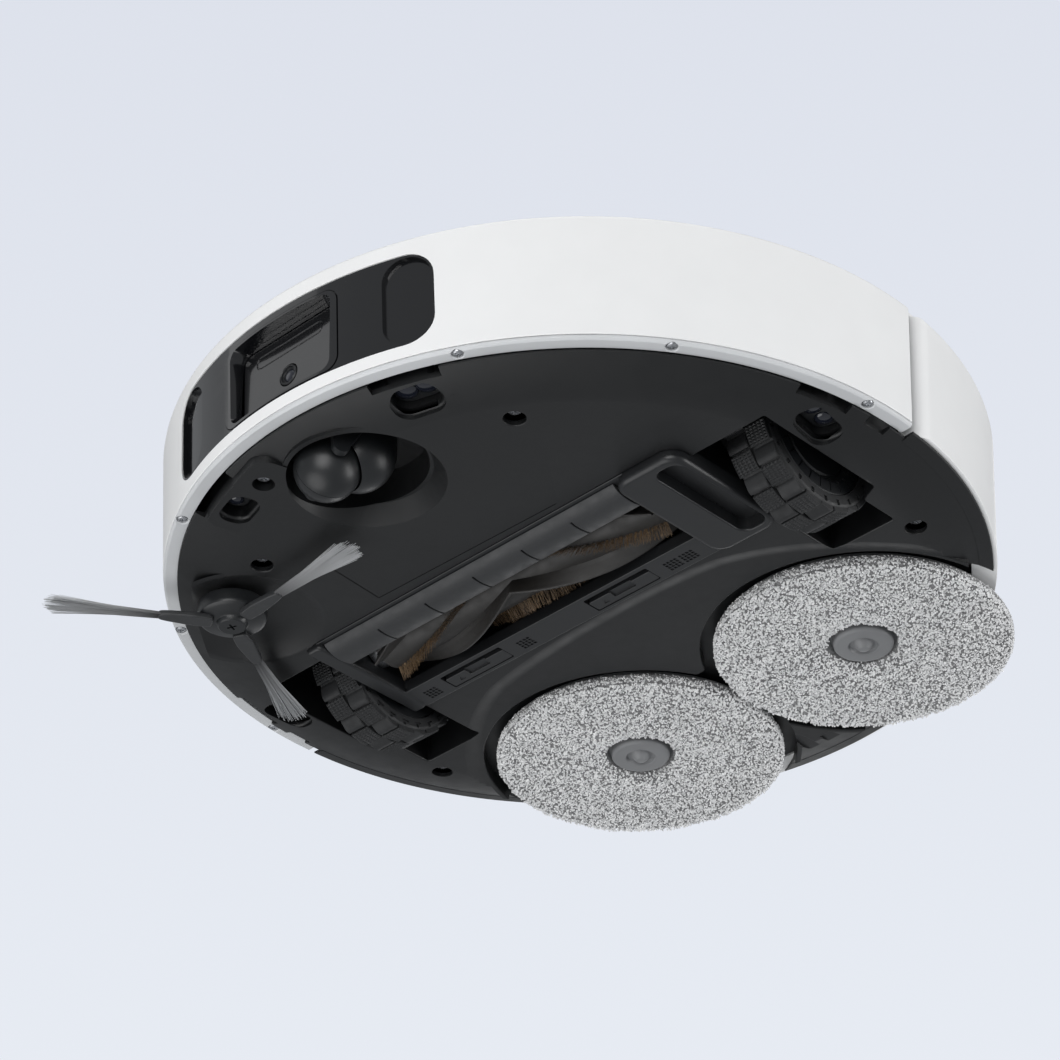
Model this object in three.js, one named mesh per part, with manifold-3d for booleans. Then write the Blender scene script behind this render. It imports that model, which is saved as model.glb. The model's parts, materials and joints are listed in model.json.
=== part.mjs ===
// A round robot vacuum and mop, as separate parts in millimetres.
// +Z is up, the front is -Y, the robot's left is +X, and the origin is on the floor under the body's axis.
import * as THREE from "three";
import { mergeVertices } from "three/addons/utils/BufferGeometryUtils.js";
import Module from "manifold-3d";

const wasm = await Module();
wasm.setup();

// ---- Driving dimensions ----
const BODY_R = 173; // outer wall at its lower edge
const FLARE = 2.5; // how far the wall leans out by its top
const WALL_LOW = 19.3;
const WALL_HIGH = 78;
const SKIN = 2.5; // moulded wall thickness
const GAP = 0.3; // clearance between neighbouring pieces
const PLATE_Z = 12; // underside above the floor
const PLATE_TOP = PLATE_Z + SKIN;
const FRAME_R = 161.5; // inner frame wall behind the bumper
const FRAME_HIGH = 74.4;
const RIM_R = 167; // edge of the underside at the front
const RIM_TOP = 18.8;
const ROUND = 40; // sides of the large round parts
const BUMPER_END = 7; // the bumper reaches from the front back to this Y
const SHELL_START = 20; // the rear shell's wall starts here, behind its rounded front edge

const WHEEL_R = 34.8;
const WHEEL_Y = 1.4;
const WHEEL_X = [108, 130]; // inner and outer face of a tyre
const WELL_X = [101, 142];
const WELL_Y = [-46.5, 43];
const ARM_PIVOT = { y: -36, z: 52 };
const ARM_X = [101.8, 105.6];

const CASTER = { x: 0, y: -128, bay: 28.5, high: 34.5 };
const CASTER_BALL = { x: -5.3, y: -139.6, r: 13.5 };

const MOUTH_X = [-97, 70]; // suction mouth
const MOUTH_Y = [-38, -6];
const COVER_X = [-107, 104]; // brush cover
const COVER_Y = [-57, 8];
const COVER_TOP = 15.7;
const BAY_X = [-98, 98]; // chamber above the mouth
const BAY_Y = [-44, 0];
const BAY_HIGH = 46;
const BRUSH = { y: -22, z: 24.3, r: 17.8 };

const SIDE_BRUSH = { x: -104.7, y: -99.4, reach: 78, firstArm: -3 };
const DISH = { x: -106, y: -90 };

const MOP = { x: 64, y: 106.3, r: 63.7, low: 10.3, high: 16.3 };
const MOP_WELL_R = 69;
const MOP_CEILING = 20;

const TURRET = { x: 0, y: 58, r: 45 };
const BUTTONS_Y = -138;
const FAN = { x: 72, y: -84, r: 27 };

// ---- Materials ----
const finish = (color, roughness, metalness = 0) =>
  new THREE.MeshStandardMaterial({ color, roughness, metalness });
const white = finish(0xf0f0ee, 0.45);
const greyTrim = finish(0xa9abad, 0.5);
const charcoal = finish(0x2d2f31, 0.55);
const darkCover = finish(0x3c3e40, 0.5);
const glossBlack = finish(0x0b0c0d, 0.08);
const rubber = finish(0x2a2b2c, 0.85);
const bristle = finish(0x6b5238, 0.8);
const cloth = finish(0xb9b9b8, 0.95);
const hubGrey = finish(0x85878a, 0.5);
const steel = finish(0xb9bcbf, 0.3, 1);
const copper = finish(0xc8a15a, 0.3, 1);
const circuit = finish(0x1f5a38, 0.6);
const clearTank = finish(0x9fb4c4, 0.2);
const batteryWrap = finish(0x33435c, 0.6);

// ---- Solids from three.js geometry ----
function signedVolume(position, triangles) {
  const [a, b, c] = [new THREE.Vector3(), new THREE.Vector3(), new THREE.Vector3()];
  let total = 0;
  for (let i = 0; i < triangles.length; i += 3) {
    a.fromBufferAttribute(position, triangles[i]);
    b.fromBufferAttribute(position, triangles[i + 1]);
    c.fromBufferAttribute(position, triangles[i + 2]);
    total += a.dot(b.cross(c));
  }
  return total;
}

// A closed geometry as a solid, with its faces turned outwards.
function solid(geometry) {
  if (!geometry.isBufferGeometry) return geometry;
  const bare = geometry.clone();
  bare.deleteAttribute("normal");
  bare.deleteAttribute("uv");
  const merged = mergeVertices(bare, 1e-4);
  const index = merged.index.array;
  const triangles = [];
  for (let i = 0; i < index.length; i += 3) {
    const [a, b, c] = [index[i], index[i + 1], index[i + 2]];
    if (a !== b && b !== c && c !== a) triangles.push(a, b, c);
  }
  const position = merged.getAttribute("position");
  if (signedVolume(position, triangles) < 0) triangles.reverse();
  const mesh = new wasm.Mesh({
    numProp: 3,
    vertProperties: new Float32Array(position.array),
    triVerts: new Uint32Array(triangles),
  });
  return new wasm.Manifold(mesh);
}

const join = (first, ...rest) => rest.reduce((sum, part) => sum.add(solid(part)), solid(first));
const cut = (first, ...rest) => rest.reduce((left, part) => left.subtract(solid(part)), solid(first));
const common = (first, second) => solid(first).intersect(solid(second));

function geometryOf(part) {
  const mesh = solid(part).getMesh();
  const geometry = new THREE.BufferGeometry();
  geometry.setAttribute("position", new THREE.BufferAttribute(mesh.vertProperties, mesh.numProp));
  geometry.setIndex(new THREE.BufferAttribute(mesh.triVerts, 1));
  geometry.computeVertexNormals();
  return geometry;
}

const block = (x, y, z) =>
  new THREE.BoxGeometry(x[1] - x[0], y[1] - y[0], z[1] - z[0])
    .translate((x[0] + x[1]) / 2, (y[0] + y[1]) / 2, (z[0] + z[1]) / 2);

const sorted = (a, b) => (a < b ? [a, b] : [b, a]);

// Round rods along Z, Y and X, from one end to the other.
const rodZ = (r, ends, x = 0, y = 0, sides = 24) =>
  new THREE.CylinderGeometry(r, r, ends[1] - ends[0], sides)
    .rotateX(Math.PI / 2)
    .translate(x, y, (ends[0] + ends[1]) / 2);
const rodY = (r, ends, x = 0, z = 0, sides = 24) =>
  new THREE.CylinderGeometry(r, r, ends[1] - ends[0], sides).translate(x, (ends[0] + ends[1]) / 2, z);
const rodX = (r, ends, y = 0, z = 0, sides = 24) =>
  new THREE.CylinderGeometry(r, r, ends[1] - ends[0], sides)
    .rotateZ(Math.PI / 2)
    .translate((ends[0] + ends[1]) / 2, y, z);

// A profile of [radius, height] points turned about Z. One that doesn't start on the axis closes on itself.
function turned(profile, sides = ROUND) {
  const points = profile.map(([r, z]) => new THREE.Vector2(r, z));
  if (profile[0][0] > 0) points.push(points[0].clone());
  return new THREE.LatheGeometry(points, sides).rotateX(Math.PI / 2);
}

// An outline in XY raised along Z, an outline in XZ raised along Y, and an outline in YZ raised along X.
function raised(shape, z, curveSegments = 2) {
  const options = { depth: z[1] - z[0], bevelEnabled: false, curveSegments };
  return new THREE.ExtrudeGeometry(shape, options).translate(0, 0, z[0]);
}
const raisedY = (shape, y, curveSegments = 2) =>
  raised(shape, [-y[1], -y[0]], curveSegments).rotateX(Math.PI / 2);
const raisedX = (shape, x, curveSegments = 3) =>
  raised(shape, x, curveSegments).rotateX(Math.PI / 2).rotateZ(Math.PI / 2);

function outline(points) {
  return new THREE.Shape(points.map(([u, v]) => new THREE.Vector2(u, v)));
}

// A rectangle with round corners between two values of u and of v, made larger all round by `grow`.
function roundedRect(u, v, radius, grow = 0) {
  const [u0, u1, v0, v1] = [u[0] - grow, u[1] + grow, v[0] - grow, v[1] + grow];
  const r = radius + grow;
  const shape = new THREE.Shape();
  shape.moveTo(u0 + r, v0);
  shape.lineTo(u1 - r, v0);
  shape.absarc(u1 - r, v0 + r, r, -Math.PI / 2, 0);
  shape.lineTo(u1, v1 - r);
  shape.absarc(u1 - r, v1 - r, r, 0, Math.PI / 2);
  shape.lineTo(u0 + r, v1);
  shape.absarc(u0 + r, v1 - r, r, Math.PI / 2, Math.PI);
  shape.lineTo(u0, v0 + r);
  shape.absarc(u0 + r, v0 + r, r, Math.PI, 1.5 * Math.PI);
  return shape;
}

// A flat ring sector between two radii and two angles in degrees.
function sector(inner, outer, from, to) {
  const [start, end] = [THREE.MathUtils.degToRad(from), THREE.MathUtils.degToRad(to)];
  const shape = new THREE.Shape();
  shape.absarc(0, 0, outer, start, end, false);
  shape.absarc(0, 0, inner, end, start, true);
  shape.closePath();
  return shape;
}

// A coil of round wire along Z.
class Helix extends THREE.Curve {
  constructor(radius, ends, turns) {
    super();
    Object.assign(this, { radius, ends, turns });
  }
  getPoint(t, target = new THREE.Vector3()) {
    const angle = 2 * Math.PI * this.turns * t;
    const z = this.ends[0] + (this.ends[1] - this.ends[0]) * t;
    return target.set(this.radius * Math.cos(angle), this.radius * Math.sin(angle), z);
  }
}

function spring(radius, wire, ends, turns) {
  const section = new THREE.Shape();
  section.absarc(0, 0, wire, 0, 2 * Math.PI);
  const path = new Helix(radius, [ends[0] + wire, ends[1] - wire], turns);
  const options = { steps: Math.round(turns * 6), extrudePath: path, curveSegments: 2 };
  return new THREE.ExtrudeGeometry(section, options);
}

// ---- The body's round wall ----
const wallR = (z) => BODY_R + (FLARE * (z - WALL_LOW)) / (WALL_HIGH - WALL_LOW);

// The solid that fills the body out to its wall, less `inset`.
const bodyFill = (inset, low = WALL_LOW, high = WALL_HIGH) =>
  turned([
    [0, low],
    [wallR(low) - inset, low],
    [wallR(high - 1.6) - inset, high - 1.6],
    [wallR(high - 1.6) - inset - 0.7, high - 0.5],
    [wallR(high - 1.6) - inset - 2, high],
    [0, high],
  ]);

// A wall of the body from `low` up, with a flange at its foot and a lip at its top.
function bodyWall(low, flangeR, lipR) {
  const lipLow = WALL_HIGH - 2;
  const hollow = [
    [0, low + 2],
    [wallR(low) - SKIN, low + 2],
    [wallR(lipLow) - SKIN, lipLow],
    [0, lipLow],
  ];
  return cut(
    bodyFill(0, low),
    turned(hollow),
    rodZ(flangeR, [low - 1, low + 3], 0, 0, ROUND),
    rodZ(lipR, [lipLow - 1, WALL_HIGH + 1], 0, 0, ROUND),
  );
}

const everythingBehind = (y) => block([-200, 200], [y, 200], [0, 100]);
const everythingAhead = (y) => block([-200, 200], [-200, y], [0, 100]);

// ---- Bumper ----
const WINDOW_X = [-73, 73];
const WINDOW_Z = [27, 70];
const EYE_X = [52, 71.7]; // side glasses
const EYE_Z = [28.4, 68.6];
const PANE_X = [-26.5, 26.5];
const PANE_Z = [30, 64.3];
const PANE_Y = [-166.6, -165.1];
const LENS_Z = 42.7;
const BEZEL_Z = [19.1, 21.1];
const BUMPER_LOW = 21.4;
const BUMPER_SPRING = { x: 60, y: -139.9, z: 41, length: 17 };
const SCREW_R = 170.3; // the screws' circle about the body's axis
const SCREW_ANGLES = [-84.5, -55.3, -27.5, 27.5, 55.3, 84.5]; // from the front, in degrees

function screwPlace(angle) {
  const a = THREE.MathUtils.degToRad(angle);
  return [SCREW_R * Math.sin(a), -SCREW_R * Math.cos(a)];
}

function bumperShell() {
  const window = raisedY(roundedRect(WINDOW_X, WINDOW_Z, 12), [-180, -140]);
  const shell = cut(bodyWall(BUMPER_LOW, 167.3, 166), everythingBehind(BUMPER_END), window);
  const holes = SCREW_ANGLES.map((angle) => rodZ(1.35, [20, 25], ...screwPlace(angle), 6));
  return cut(shell, ...holes);
}

function bumperBezel() {
  const ring = turned([
    [RIM_R, BEZEL_Z[0]],
    [172.2, BEZEL_Z[0]],
    [172.9, BEZEL_Z[1]],
    [RIM_R, BEZEL_Z[1]],
  ]);
  const holes = SCREW_ANGLES.map((angle) => rodZ(1.35, [19, 22], ...screwPlace(angle), 6));
  const sinks = SCREW_ANGLES.map((angle) => rodZ(2.7, [19, 20.4], ...screwPlace(angle), 6));
  return cut(ring, everythingBehind(BUMPER_END), ...holes, ...sinks);
}

// A cross-head screw with its head down and its underside at z = 0.
function bezelScrew() {
  const slot = [-0.35, 0.35];
  const cross = [-1.4, 1.4];
  const depth = [-1.2, -0.45];
  const head = turned([[0, -0.9], [1.9, -0.9], [2.2, 0], [0, 0]], 6);
  return cut(join(head, rodZ(1, [-0.1, 3.6], 0, 0, 6)), block(slot, cross, depth), block(cross, slot, depth));
}

// The opening of the camera frame, which widens towards the front.
function paneFunnel() {
  const funnel = raisedY(roundedRect(PANE_X, PANE_Z, 4.5), [-176, -166.9]);
  const position = funnel.getAttribute("position");
  const middle = (PANE_Z[0] + PANE_Z[1]) / 2;
  for (let i = 0; i < position.count; i++) {
    if (position.getY(i) > -170) continue;
    position.setX(i, position.getX(i) * 1.22);
    position.setZ(i, middle + (position.getZ(i) - middle) * 1.09);
  }
  return funnel;
}

// A curved band of gloss plastic, with a frame for the camera and two shallow glasses beside it.
function bumperWindow() {
  const shape = roundedRect(WINDOW_X, WINDOW_Z, 12, -GAP);
  const band = cut(bodyFill(0.25), bodyFill(2.9), everythingBehind(-140));
  const frame = raisedY(roundedRect([-32, 32], [28, 66.4], 6), [-180, -163.6]);
  const window = common(join(band, common(bodyFill(0.25), frame)), raisedY(shape, [-180, -140]));
  const eyes = [EYE_X, sorted(-EYE_X[0], -EYE_X[1])].map((x) =>
    cut(raisedY(roundedRect(x, EYE_Z, 9.6), [-180, -140]), bodyFill(1.6, 10, 90)),
  );
  const opening = raisedY(roundedRect(PANE_X, PANE_Z, 4.5), [-180, -160]);
  return cut(window, paneFunnel(), opening, ...eyes);
}

function cameraPane() {
  const pane = raisedY(roundedRect(PANE_X, PANE_Z, 4.5, -GAP), PANE_Y);
  return cut(pane, rodY(5, [-170, -160], 0, LENS_Z, 16));
}

// The camera's barrel, with its round front glass at y = 0 and its body behind.
function cameraLens() {
  const profile = [[0, 0.5], [2.4, 0.2], [3, 0.9], [3.6, 0.9], [4, 0], [4.6, 0], [4.6, 5.5], [0, 5.5]];
  return turned(profile, 16).rotateX(-Math.PI / 2);
}

// ---- Fixed body shells ----
const SHELL_CORE_R = 162.2; // everything inside this circle belongs to the chassis

// The shell's front edge, which curls inwards behind the bumper's end.
function rearShellEdge() {
  const r = 8;
  const lean = new THREE.Matrix4().makeShear(0, 0, 0, 0, FLARE / (WALL_HIGH - WALL_LOW), 0);
  const column = rodZ(r, [0, WALL_HIGH - WALL_LOW], 0, 0, 16)
    .applyMatrix4(lean)
    .translate(BODY_R - r - 1.1, SHELL_START, WALL_LOW);
  return cut(common(column, bodyFill(0)), rodZ(SHELL_CORE_R, [0, 100], 0, 0, ROUND));
}

function rearShell() {
  const wall = cut(bodyWall(WALL_LOW, SHELL_CORE_R, SHELL_CORE_R + 0.3), everythingAhead(SHELL_START));
  const edge = geometryOf(rearShellEdge());
  const contacts = [-1, 1].map((side) => contactPocket(side));
  return cut(join(wall, edge, edge.clone().scale(-1, 1, 1)), ...contacts);
}

// Two charging strips sit in the rear wall, each in a shallow pocket that faces straight out.
const CONTACT = { halfX: 8, halfZ: 3.5, thick: 1.3, z: 30.5, angle: 7.3 };

function contactStrip(grow) {
  const { halfX, halfZ, thick } = CONTACT;
  return block([-halfX - grow, halfX + grow], [-grow, thick + 4 * grow], [-halfZ - grow, halfZ + grow]);
}

function contactPlace(side) {
  const a = THREE.MathUtils.degToRad(side * CONTACT.angle);
  const r = BODY_R - CONTACT.thick;
  return { turn: -a, at: [r * Math.sin(a), r * Math.cos(a), CONTACT.z] };
}

function contactPocket(side) {
  const { turn, at } = contactPlace(side);
  return contactStrip(GAP).rotateZ(turn).translate(...at);
}

const BIN_HOLE = { x: [-80, 80], y: [-54, 22], r: 8 };
const BUTTON_ISLAND = { x: [-28, 28], y: [BUTTONS_Y - 9, BUTTONS_Y + 9], r: 9 };
const BUTTON_X = 12;
const BUTTON_R = 6;

function topCover() {
  const plate = rodZ(162, [74.7, 77.2], 0, 0, ROUND);
  const island = raised(roundedRect(BUTTON_ISLAND.x, BUTTON_ISLAND.y, 9), [77, 80.5]);
  const binHole = raised(roundedRect(BIN_HOLE.x, BIN_HOLE.y, BIN_HOLE.r), [70, 80]);
  const buttonHoles = [-1, 1].map((side) => rodZ(BUTTON_R + GAP, [75.9, 82], side * BUTTON_X, BUTTONS_Y, 16));
  return cut(join(plate, island), binHole, ...buttonHoles);
}

// A round push button with a dished face, its foot at z = 0.
const button = () => turned([[0, 0], [BUTTON_R, 0], [BUTTON_R, 3.9], [5.4, 4.5], [4, 4.3], [0, 4.1]], 16);

function lid() {
  const plate = turned([
    [0, 78.3],
    [171.4, 78.3],
    [171.4, 80],
    [169.8, 81],
    [0, 81],
  ]);
  const feet = [30, 90, 150, 210, 330].map((angle) =>
    raised(sector(146, 152, angle - 4, angle + 4), [77.5, 78.6], 1),
  );
  const turretHole = rodZ(TURRET.r + 3, [70, 90], TURRET.x, TURRET.y, 24);
  const island = roundedRect(BUTTON_ISLAND.x, BUTTON_ISLAND.y, BUTTON_ISLAND.r, 0.8);
  return cut(join(plate, ...feet), turretHole, raised(island, [70, 90]));
}

// The lidar's housing: a base ring, three posts and a round cap.
function turretCap() {
  const base = turned([[32, 77.5], [TURRET.r, 77.5], [TURRET.r, 84.5], [32, 84.5]], 24);
  const cap = turned([[0, 93], [TURRET.r, 93], [TURRET.r, 95.5], [TURRET.r - 2, 97], [0, 97]], 24);
  const posts = [90, 215, 325].map((angle) => raised(sector(39, 43.5, angle - 9, angle + 9), [84, 93.5], 1));
  return join(base, ...posts, cap);
}

// The spinning head inside the turret, with a flat face for its laser, about its own axis.
function lidarRotor() {
  const head = cut(rodZ(29, [0, 13.5]), block([-30, 30], [-30, -23], [3, 20]));
  return cut(head, rodY(4, [-30, -18], -9, 8.2, 12), rodY(5, [-30, -18], 9, 8.2, 12));
}

// ---- Chassis ----
// A moulded pocket: walls and a roof round a hollow that is open downwards.
function pocket(shapeFor, foot, high, curveSegments = 2) {
  return {
    walls: raised(shapeFor(2), [foot, high + 2], curveSegments),
    hollow: raised(shapeFor(0), [0, high], curveSegments),
  };
}

const disc = (x, y, r) => (grow) => {
  const shape = new THREE.Shape();
  shape.absarc(x, y, r + grow, 0, 2 * Math.PI);
  return shape;
};

// A stadium of the given half length and half width, turned by an angle in degrees.
const slotAt = (x, y, halfLength, halfWidth, angle) => (grow) => {
  const a = THREE.MathUtils.degToRad(angle);
  const corner = Math.min(halfLength, halfWidth) * 0.8;
  const shape = roundedRect([-halfLength, halfLength], [-halfWidth, halfWidth], corner, grow);
  const points = shape.extractPoints(1).shape.map((p) => [
    x + p.x * Math.cos(a) - p.y * Math.sin(a),
    y + p.x * Math.sin(a) + p.y * Math.cos(a),
  ]);
  return outline(points);
};

const CLIFF_SENSORS = [
  { name: "cliff_sensor_front_left", place: [51.5, -146, 10, 7, 16], foot: 17 },
  { name: "cliff_sensor_front_right", place: [-50, -145.5, 8, 5.5, -17], foot: 17 },
  { name: "cliff_sensor_left", place: [151.5, -25, 6.3, 10, 8], foot: 17 },
  { name: "cliff_sensor_right", place: [-151.5, -25, 6.3, 10, -8], foot: 17 },
];
const CLIFF_HIGH = 27;

const underside = [
  [0, PLATE_Z],
  [147, PLATE_Z],
  [159, 14.2],
  [RIM_R, 17.6],
];

function chassisPan() {
  const inside = [
    [RIM_R, RIM_TOP],
    [FRAME_R, RIM_TOP],
    [FRAME_R, FRAME_HIGH],
    [FRAME_R - SKIN, FRAME_HIGH],
    [FRAME_R - SKIN, 17.6],
    [149, PLATE_TOP],
    [0, PLATE_TOP],
  ];
  return turned([...underside, ...inside]);
}

// The underside reaches further out behind the bumper.
function rearRim() {
  const ring = turned([[165.5, 16.9], [171.3, 18.2], [171.3, 19], [165.5, RIM_TOP]]);
  return cut(ring, everythingAhead(9.5));
}

// The wheel well narrows at its outer rear corner.
function wellShape(side, grow = 0) {
  const [inner, outer] = [105 - grow, WELL_X[1] + grow];
  const [front, rear] = [WELL_Y[0] - grow, WELL_Y[1] + grow];
  const corners = [
    [inner, front],
    [outer, front],
    [outer, 20 + grow],
    [133 + grow, 24 + grow],
    [133 + grow, rear],
    [inner, rear],
  ];
  const points = corners.map(([x, y]) => [side * x, y]);
  return outline(side > 0 ? points : points.reverse());
}

function wheelWell(side) {
  const xs = (low, high) => (side > 0 ? [low, high] : [-high, -low]);
  const walls = join(
    raised(wellShape(side, 2), [13, FRAME_HIGH]),
    block(xs(WELL_X[0] - 2, 110), [WELL_Y[0] - 2, WELL_Y[1] + 2], [13, FRAME_HIGH]),
  );
  const hollow = join(
    raised(wellShape(side), [0, 100]),
    block(xs(WELL_X[0], 110), WELL_Y, [PLATE_TOP, 100]),
  );
  const pivotHole = rodX(4.3, xs(90, 102), ARM_PIVOT.y, ARM_PIVOT.z, 12);
  return { walls, hollow: join(hollow, pivotHole) };
}

function mopBay() {
  const shapes = [1, -1].map((side) => disc(side * MOP.x, MOP.y, MOP_WELL_R));
  const fill = rodZ(FRAME_R - 0.5, [0, 60], 0, 0, ROUND);
  const walls = join(...shapes.map((shape) => raised(shape(2), [13, MOP_CEILING + SKIN], 10)));
  const hollow = join(...shapes.map((shape) => raised(shape(0), [0, MOP_CEILING], 10)));
  const shaftHoles = [1, -1].map((side) => rodZ(10, [0, 40], side * MOP.x, MOP.y, 12));
  // The tip of the plate between the two pads is rounded off.
  const tip = cut(block([-8.5, 8.5], [66, 84], [0, MOP_CEILING]), rodZ(8.6, [0, 40], 0, 66, 12));
  return { walls: common(walls, fill), hollow: join(hollow, tip, ...shaftHoles) };
}

// The plate steps up behind this line, which bows forward between the wheels.
function mopStep() {
  const shape = new THREE.Shape();
  shape.moveTo(-150, 100);
  shape.bezierCurveTo(-120, 52, -96, 32, -70, 22.5);
  shape.bezierCurveTo(-30, 13, 40, 12, 62, 17.5);
  shape.bezierCurveTo(92, 26, 118, 50, 150, 100);
  shape.lineTo(0, 170);
  const slope = { depth: 1, bevelThickness: 1.3, bevelSize: 4, bevelSegments: 1, curveSegments: 3 };
  return new THREE.ExtrudeGeometry(shape, { ...slope, bevelOffset: -4 }).translate(0, 0, 10.8);
}

// Gaps in the rim under the bezel, at these angles from the front.
function rimGaps() {
  const spans = [[14, 24.5], [74, 82.7], [86, 90]];
  const both = spans.flatMap(([from, to]) => [[from, to], [-to, -from]]);
  return both.map(([from, to]) => raised(sector(163.2, 170, from - 90, to - 90), [10, 30], 1));
}

// Where the screws that hold the underside sit, deep in their holes.
const SCREW_HOLES = [
  [72, -113],
  [-72, -113],
  [135.5, 54],
  [-135.5, 54],
  [-30, -151],
];

function chassisBase() {
  const caster = pocket(disc(CASTER.x, CASTER.y, CASTER.bay), 13, CASTER.high, 9);
  const bay = pocket((g) => roundedRect(BAY_X, BAY_Y, 3, g), 13, BAY_HIGH, 1);
  const coverSeat = pocket((g) => roundedRect(COVER_X, COVER_Y, 8, g + GAP), 13, COVER_TOP + GAP);
  const screwHoles = SCREW_HOLES.map(([x, y]) => rodZ(4.8, [0, 18], x, y, 8));
  const cliffs = CLIFF_SENSORS.map((s) => pocket(slotAt(...s.place), s.foot, CLIFF_HIGH + GAP));
  const wells = [wheelWell(1), wheelWell(-1)];
  const mops = mopBay();
  const dish = sideBrushDish();
  const pockets = [caster, bay, coverSeat, ...cliffs, ...wells, mops, dish];
  const boss = raised(slotAt(-40, -148, 25, 10.5, -15)(0), [12.6, 17]);
  const springPosts = [-1, 1].map((side) =>
    block(sorted(side * 55, side * 65), [BUMPER_SPRING.y + GAP, -134], [13.5, 52]),
  );
  const lipWalls = rodZ(34, [13, 21], 2, -124, 18);
  const walls = join(chassisPan(), rearRim(), boss, ...springPosts, lipWalls, ...pockets.map((p) => p.walls));
  // The caster's pocket has a wide sloping lip towards the rear.
  const lip = new THREE.CylinderGeometry(26.5, 33.5, 8, 18).rotateX(Math.PI / 2).translate(1.5, -124.5, 16);
  return cut(
    walls,
    mopStep(),
    lip,
    ...pockets.map((p) => p.hollow),
    ...screwHoles,
    ...rimGaps(),
    rodZ(4.5, [30, 40], CASTER.x, CASTER.y),
    rodZ(5, [10, 30], SIDE_BRUSH.x, SIDE_BRUSH.y),
    block([-32, 32], [-38, -26], [40, 50]),
    block([-36, 36], [-170, -150], [26, 72]),
    ...[-1, 1].map((side) => rodY(4.5, [-165, -145], side * BUMPER_SPRING.x, BUMPER_SPRING.z, 12)),
  );
}

// The shallow dish that the side brush turns in.
function sideBrushDish() {
  const { x, y } = DISH;
  const bowl = (grow) => {
    const profile = [[0, 0], [31 + grow, 0], [31 + grow, 12], [24 + grow, 15.5 + grow], [0, 16.5 + grow]];
    return turned(profile, 16).translate(x, y, 0);
  };
  const above = rodZ(60, [12.6, 40], x, y);
  return { walls: common(common(bowl(2), above), rodZ(FRAME_R, [0, 40], 0, 0, ROUND)), hollow: bowl(0) };
}

// A cliff sensor: a plug with two round lenses looking down.
function cliffSensor(place) {
  const [x, y, halfLength, halfWidth, angle] = place;
  const body = raised(slotAt(0, 0, halfLength - GAP, halfWidth - GAP, 0)(0), [0, 7]);
  const long = Math.max(halfLength, halfWidth);
  const lensR = Math.min(halfLength, halfWidth) - 2.4;
  const offset = long * 0.45;
  const lenses = [-1, 1].map((side) => {
    const at = halfLength > halfWidth ? [side * offset, 0] : [0, side * offset];
    return turned([[0, -1.2], [lensR * 0.7, -0.9], [lensR, 0], [lensR, 1], [0, 1]], 8).translate(...at, 0);
  });
  const plug = geometryOf(join(body, ...lenses));
  return plug.rotateZ(THREE.MathUtils.degToRad(angle)).translate(x, y, CLIFF_HIGH - 7);
}

// ---- Inner units ----
function sensorModule() {
  const board = block([-30, 30], [-152, -142.5], [38, 68]);
  return join(board, rodY(5.5, [-155.5, -151], 0, LENS_Z));
}

const BATTERY = { x: [-38, 38], y: [-89.5, -60.5], z: [PLATE_TOP + GAP, 66] };

function batteryPack() {
  const plug = block([-14, 14], [-80, -72], [65, 69]);
  return join(block(BATTERY.x, BATTERY.y, BATTERY.z), plug);
}

function mainBoard() {
  const board = block([-75, 75], [26.5, 52], [69, 70.6]);
  const chips = [-55, -30, -5, 24, 52].map((x, i) =>
    block([x - 8, x + 8], [31 + 2 * i, 43 + i], [70.5, 72.6]),
  );
  return join(board, ...chips);
}

// The clean-water tank, open at its filling port.
function waterTank() {
  const shell = raised(roundedRect([-36, 36], [84, 148], 6), [24, 64]);
  const hollow = raised(roundedRect([-34, 34], [86, 146], 5), [26, 62]);
  return cut(shell, hollow, rodZ(6, [60, 70], 0, 138, 16));
}

function fanHousing() {
  const { r } = FAN;
  const outside = [[0, 25], [r, 25], [r, 62], [12, 62]];
  const inside = [[12, 59.5], [r - 2.5, 59.5], [r - 2.5, 28], [14, 28], [14, 40], [0, 40]];
  const outlet = block([-r - 5, -r + 6], [-7, 7], [42, 56]);
  return cut(turned([...outside, ...inside], 16), outlet);
}

function fanImpeller() {
  const base = join(rodZ(22, [0, 1.6], 0, 0, 16), rodZ(6, [1.5, 14], 0, 0, 10));
  const blade = raised(outline([[5, -0.8], [21.5, 3.2], [21.5, 4.6], [5, 0.8]]), [1.2, 12]);
  const blades = [0, 1, 2, 3, 4].map((i) => blade.clone().rotateZ((2 * Math.PI * i) / 5));
  return join(base, ...blades);
}

function dustBin() {
  const shell = raised(roundedRect([-78, 78], [-52, 18], 6), [49, 74.2]);
  const hollow = raised(roundedRect([-76, 76], [-50, 15.8], 5), [51, 72.2]);
  const inlet = block([-30, 30], [-37, -27], [45, 53]);
  const filterHole = block([-50, 50], [10, 20], [54, 70]);
  return cut(shell, hollow, inlet, filterHole);
}

// A pleated filter in its frame, which plugs the bin's rear opening.
function dustFilter() {
  const frame = block([-53, 53], [18.3, 21.5], [52, 72]);
  const plug = block([-49.6, 49.6], [12, 19], [54.4, 69.6]);
  const grooves = Array.from({ length: 9 }, (_, i) =>
    block([-44 + 10 * i, -39 + 10 * i], [11, 15], [56, 68]),
  );
  return cut(join(frame, plug), ...grooves);
}

function mainBrushMotor() {
  const gearbox = block([76, 97], [-42.5, -1.5], [17, 44]);
  return cut(gearbox, rodX(4.6, [75, 85], BRUSH.y, BRUSH.z, 16));
}

const sideBrushMotor = () =>
  cut(
    rodZ(14, [20.5, 46], SIDE_BRUSH.x, SIDE_BRUSH.y, 24),
    rodZ(3.5, [20, 27], SIDE_BRUSH.x, SIDE_BRUSH.y, 16),
  );

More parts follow.
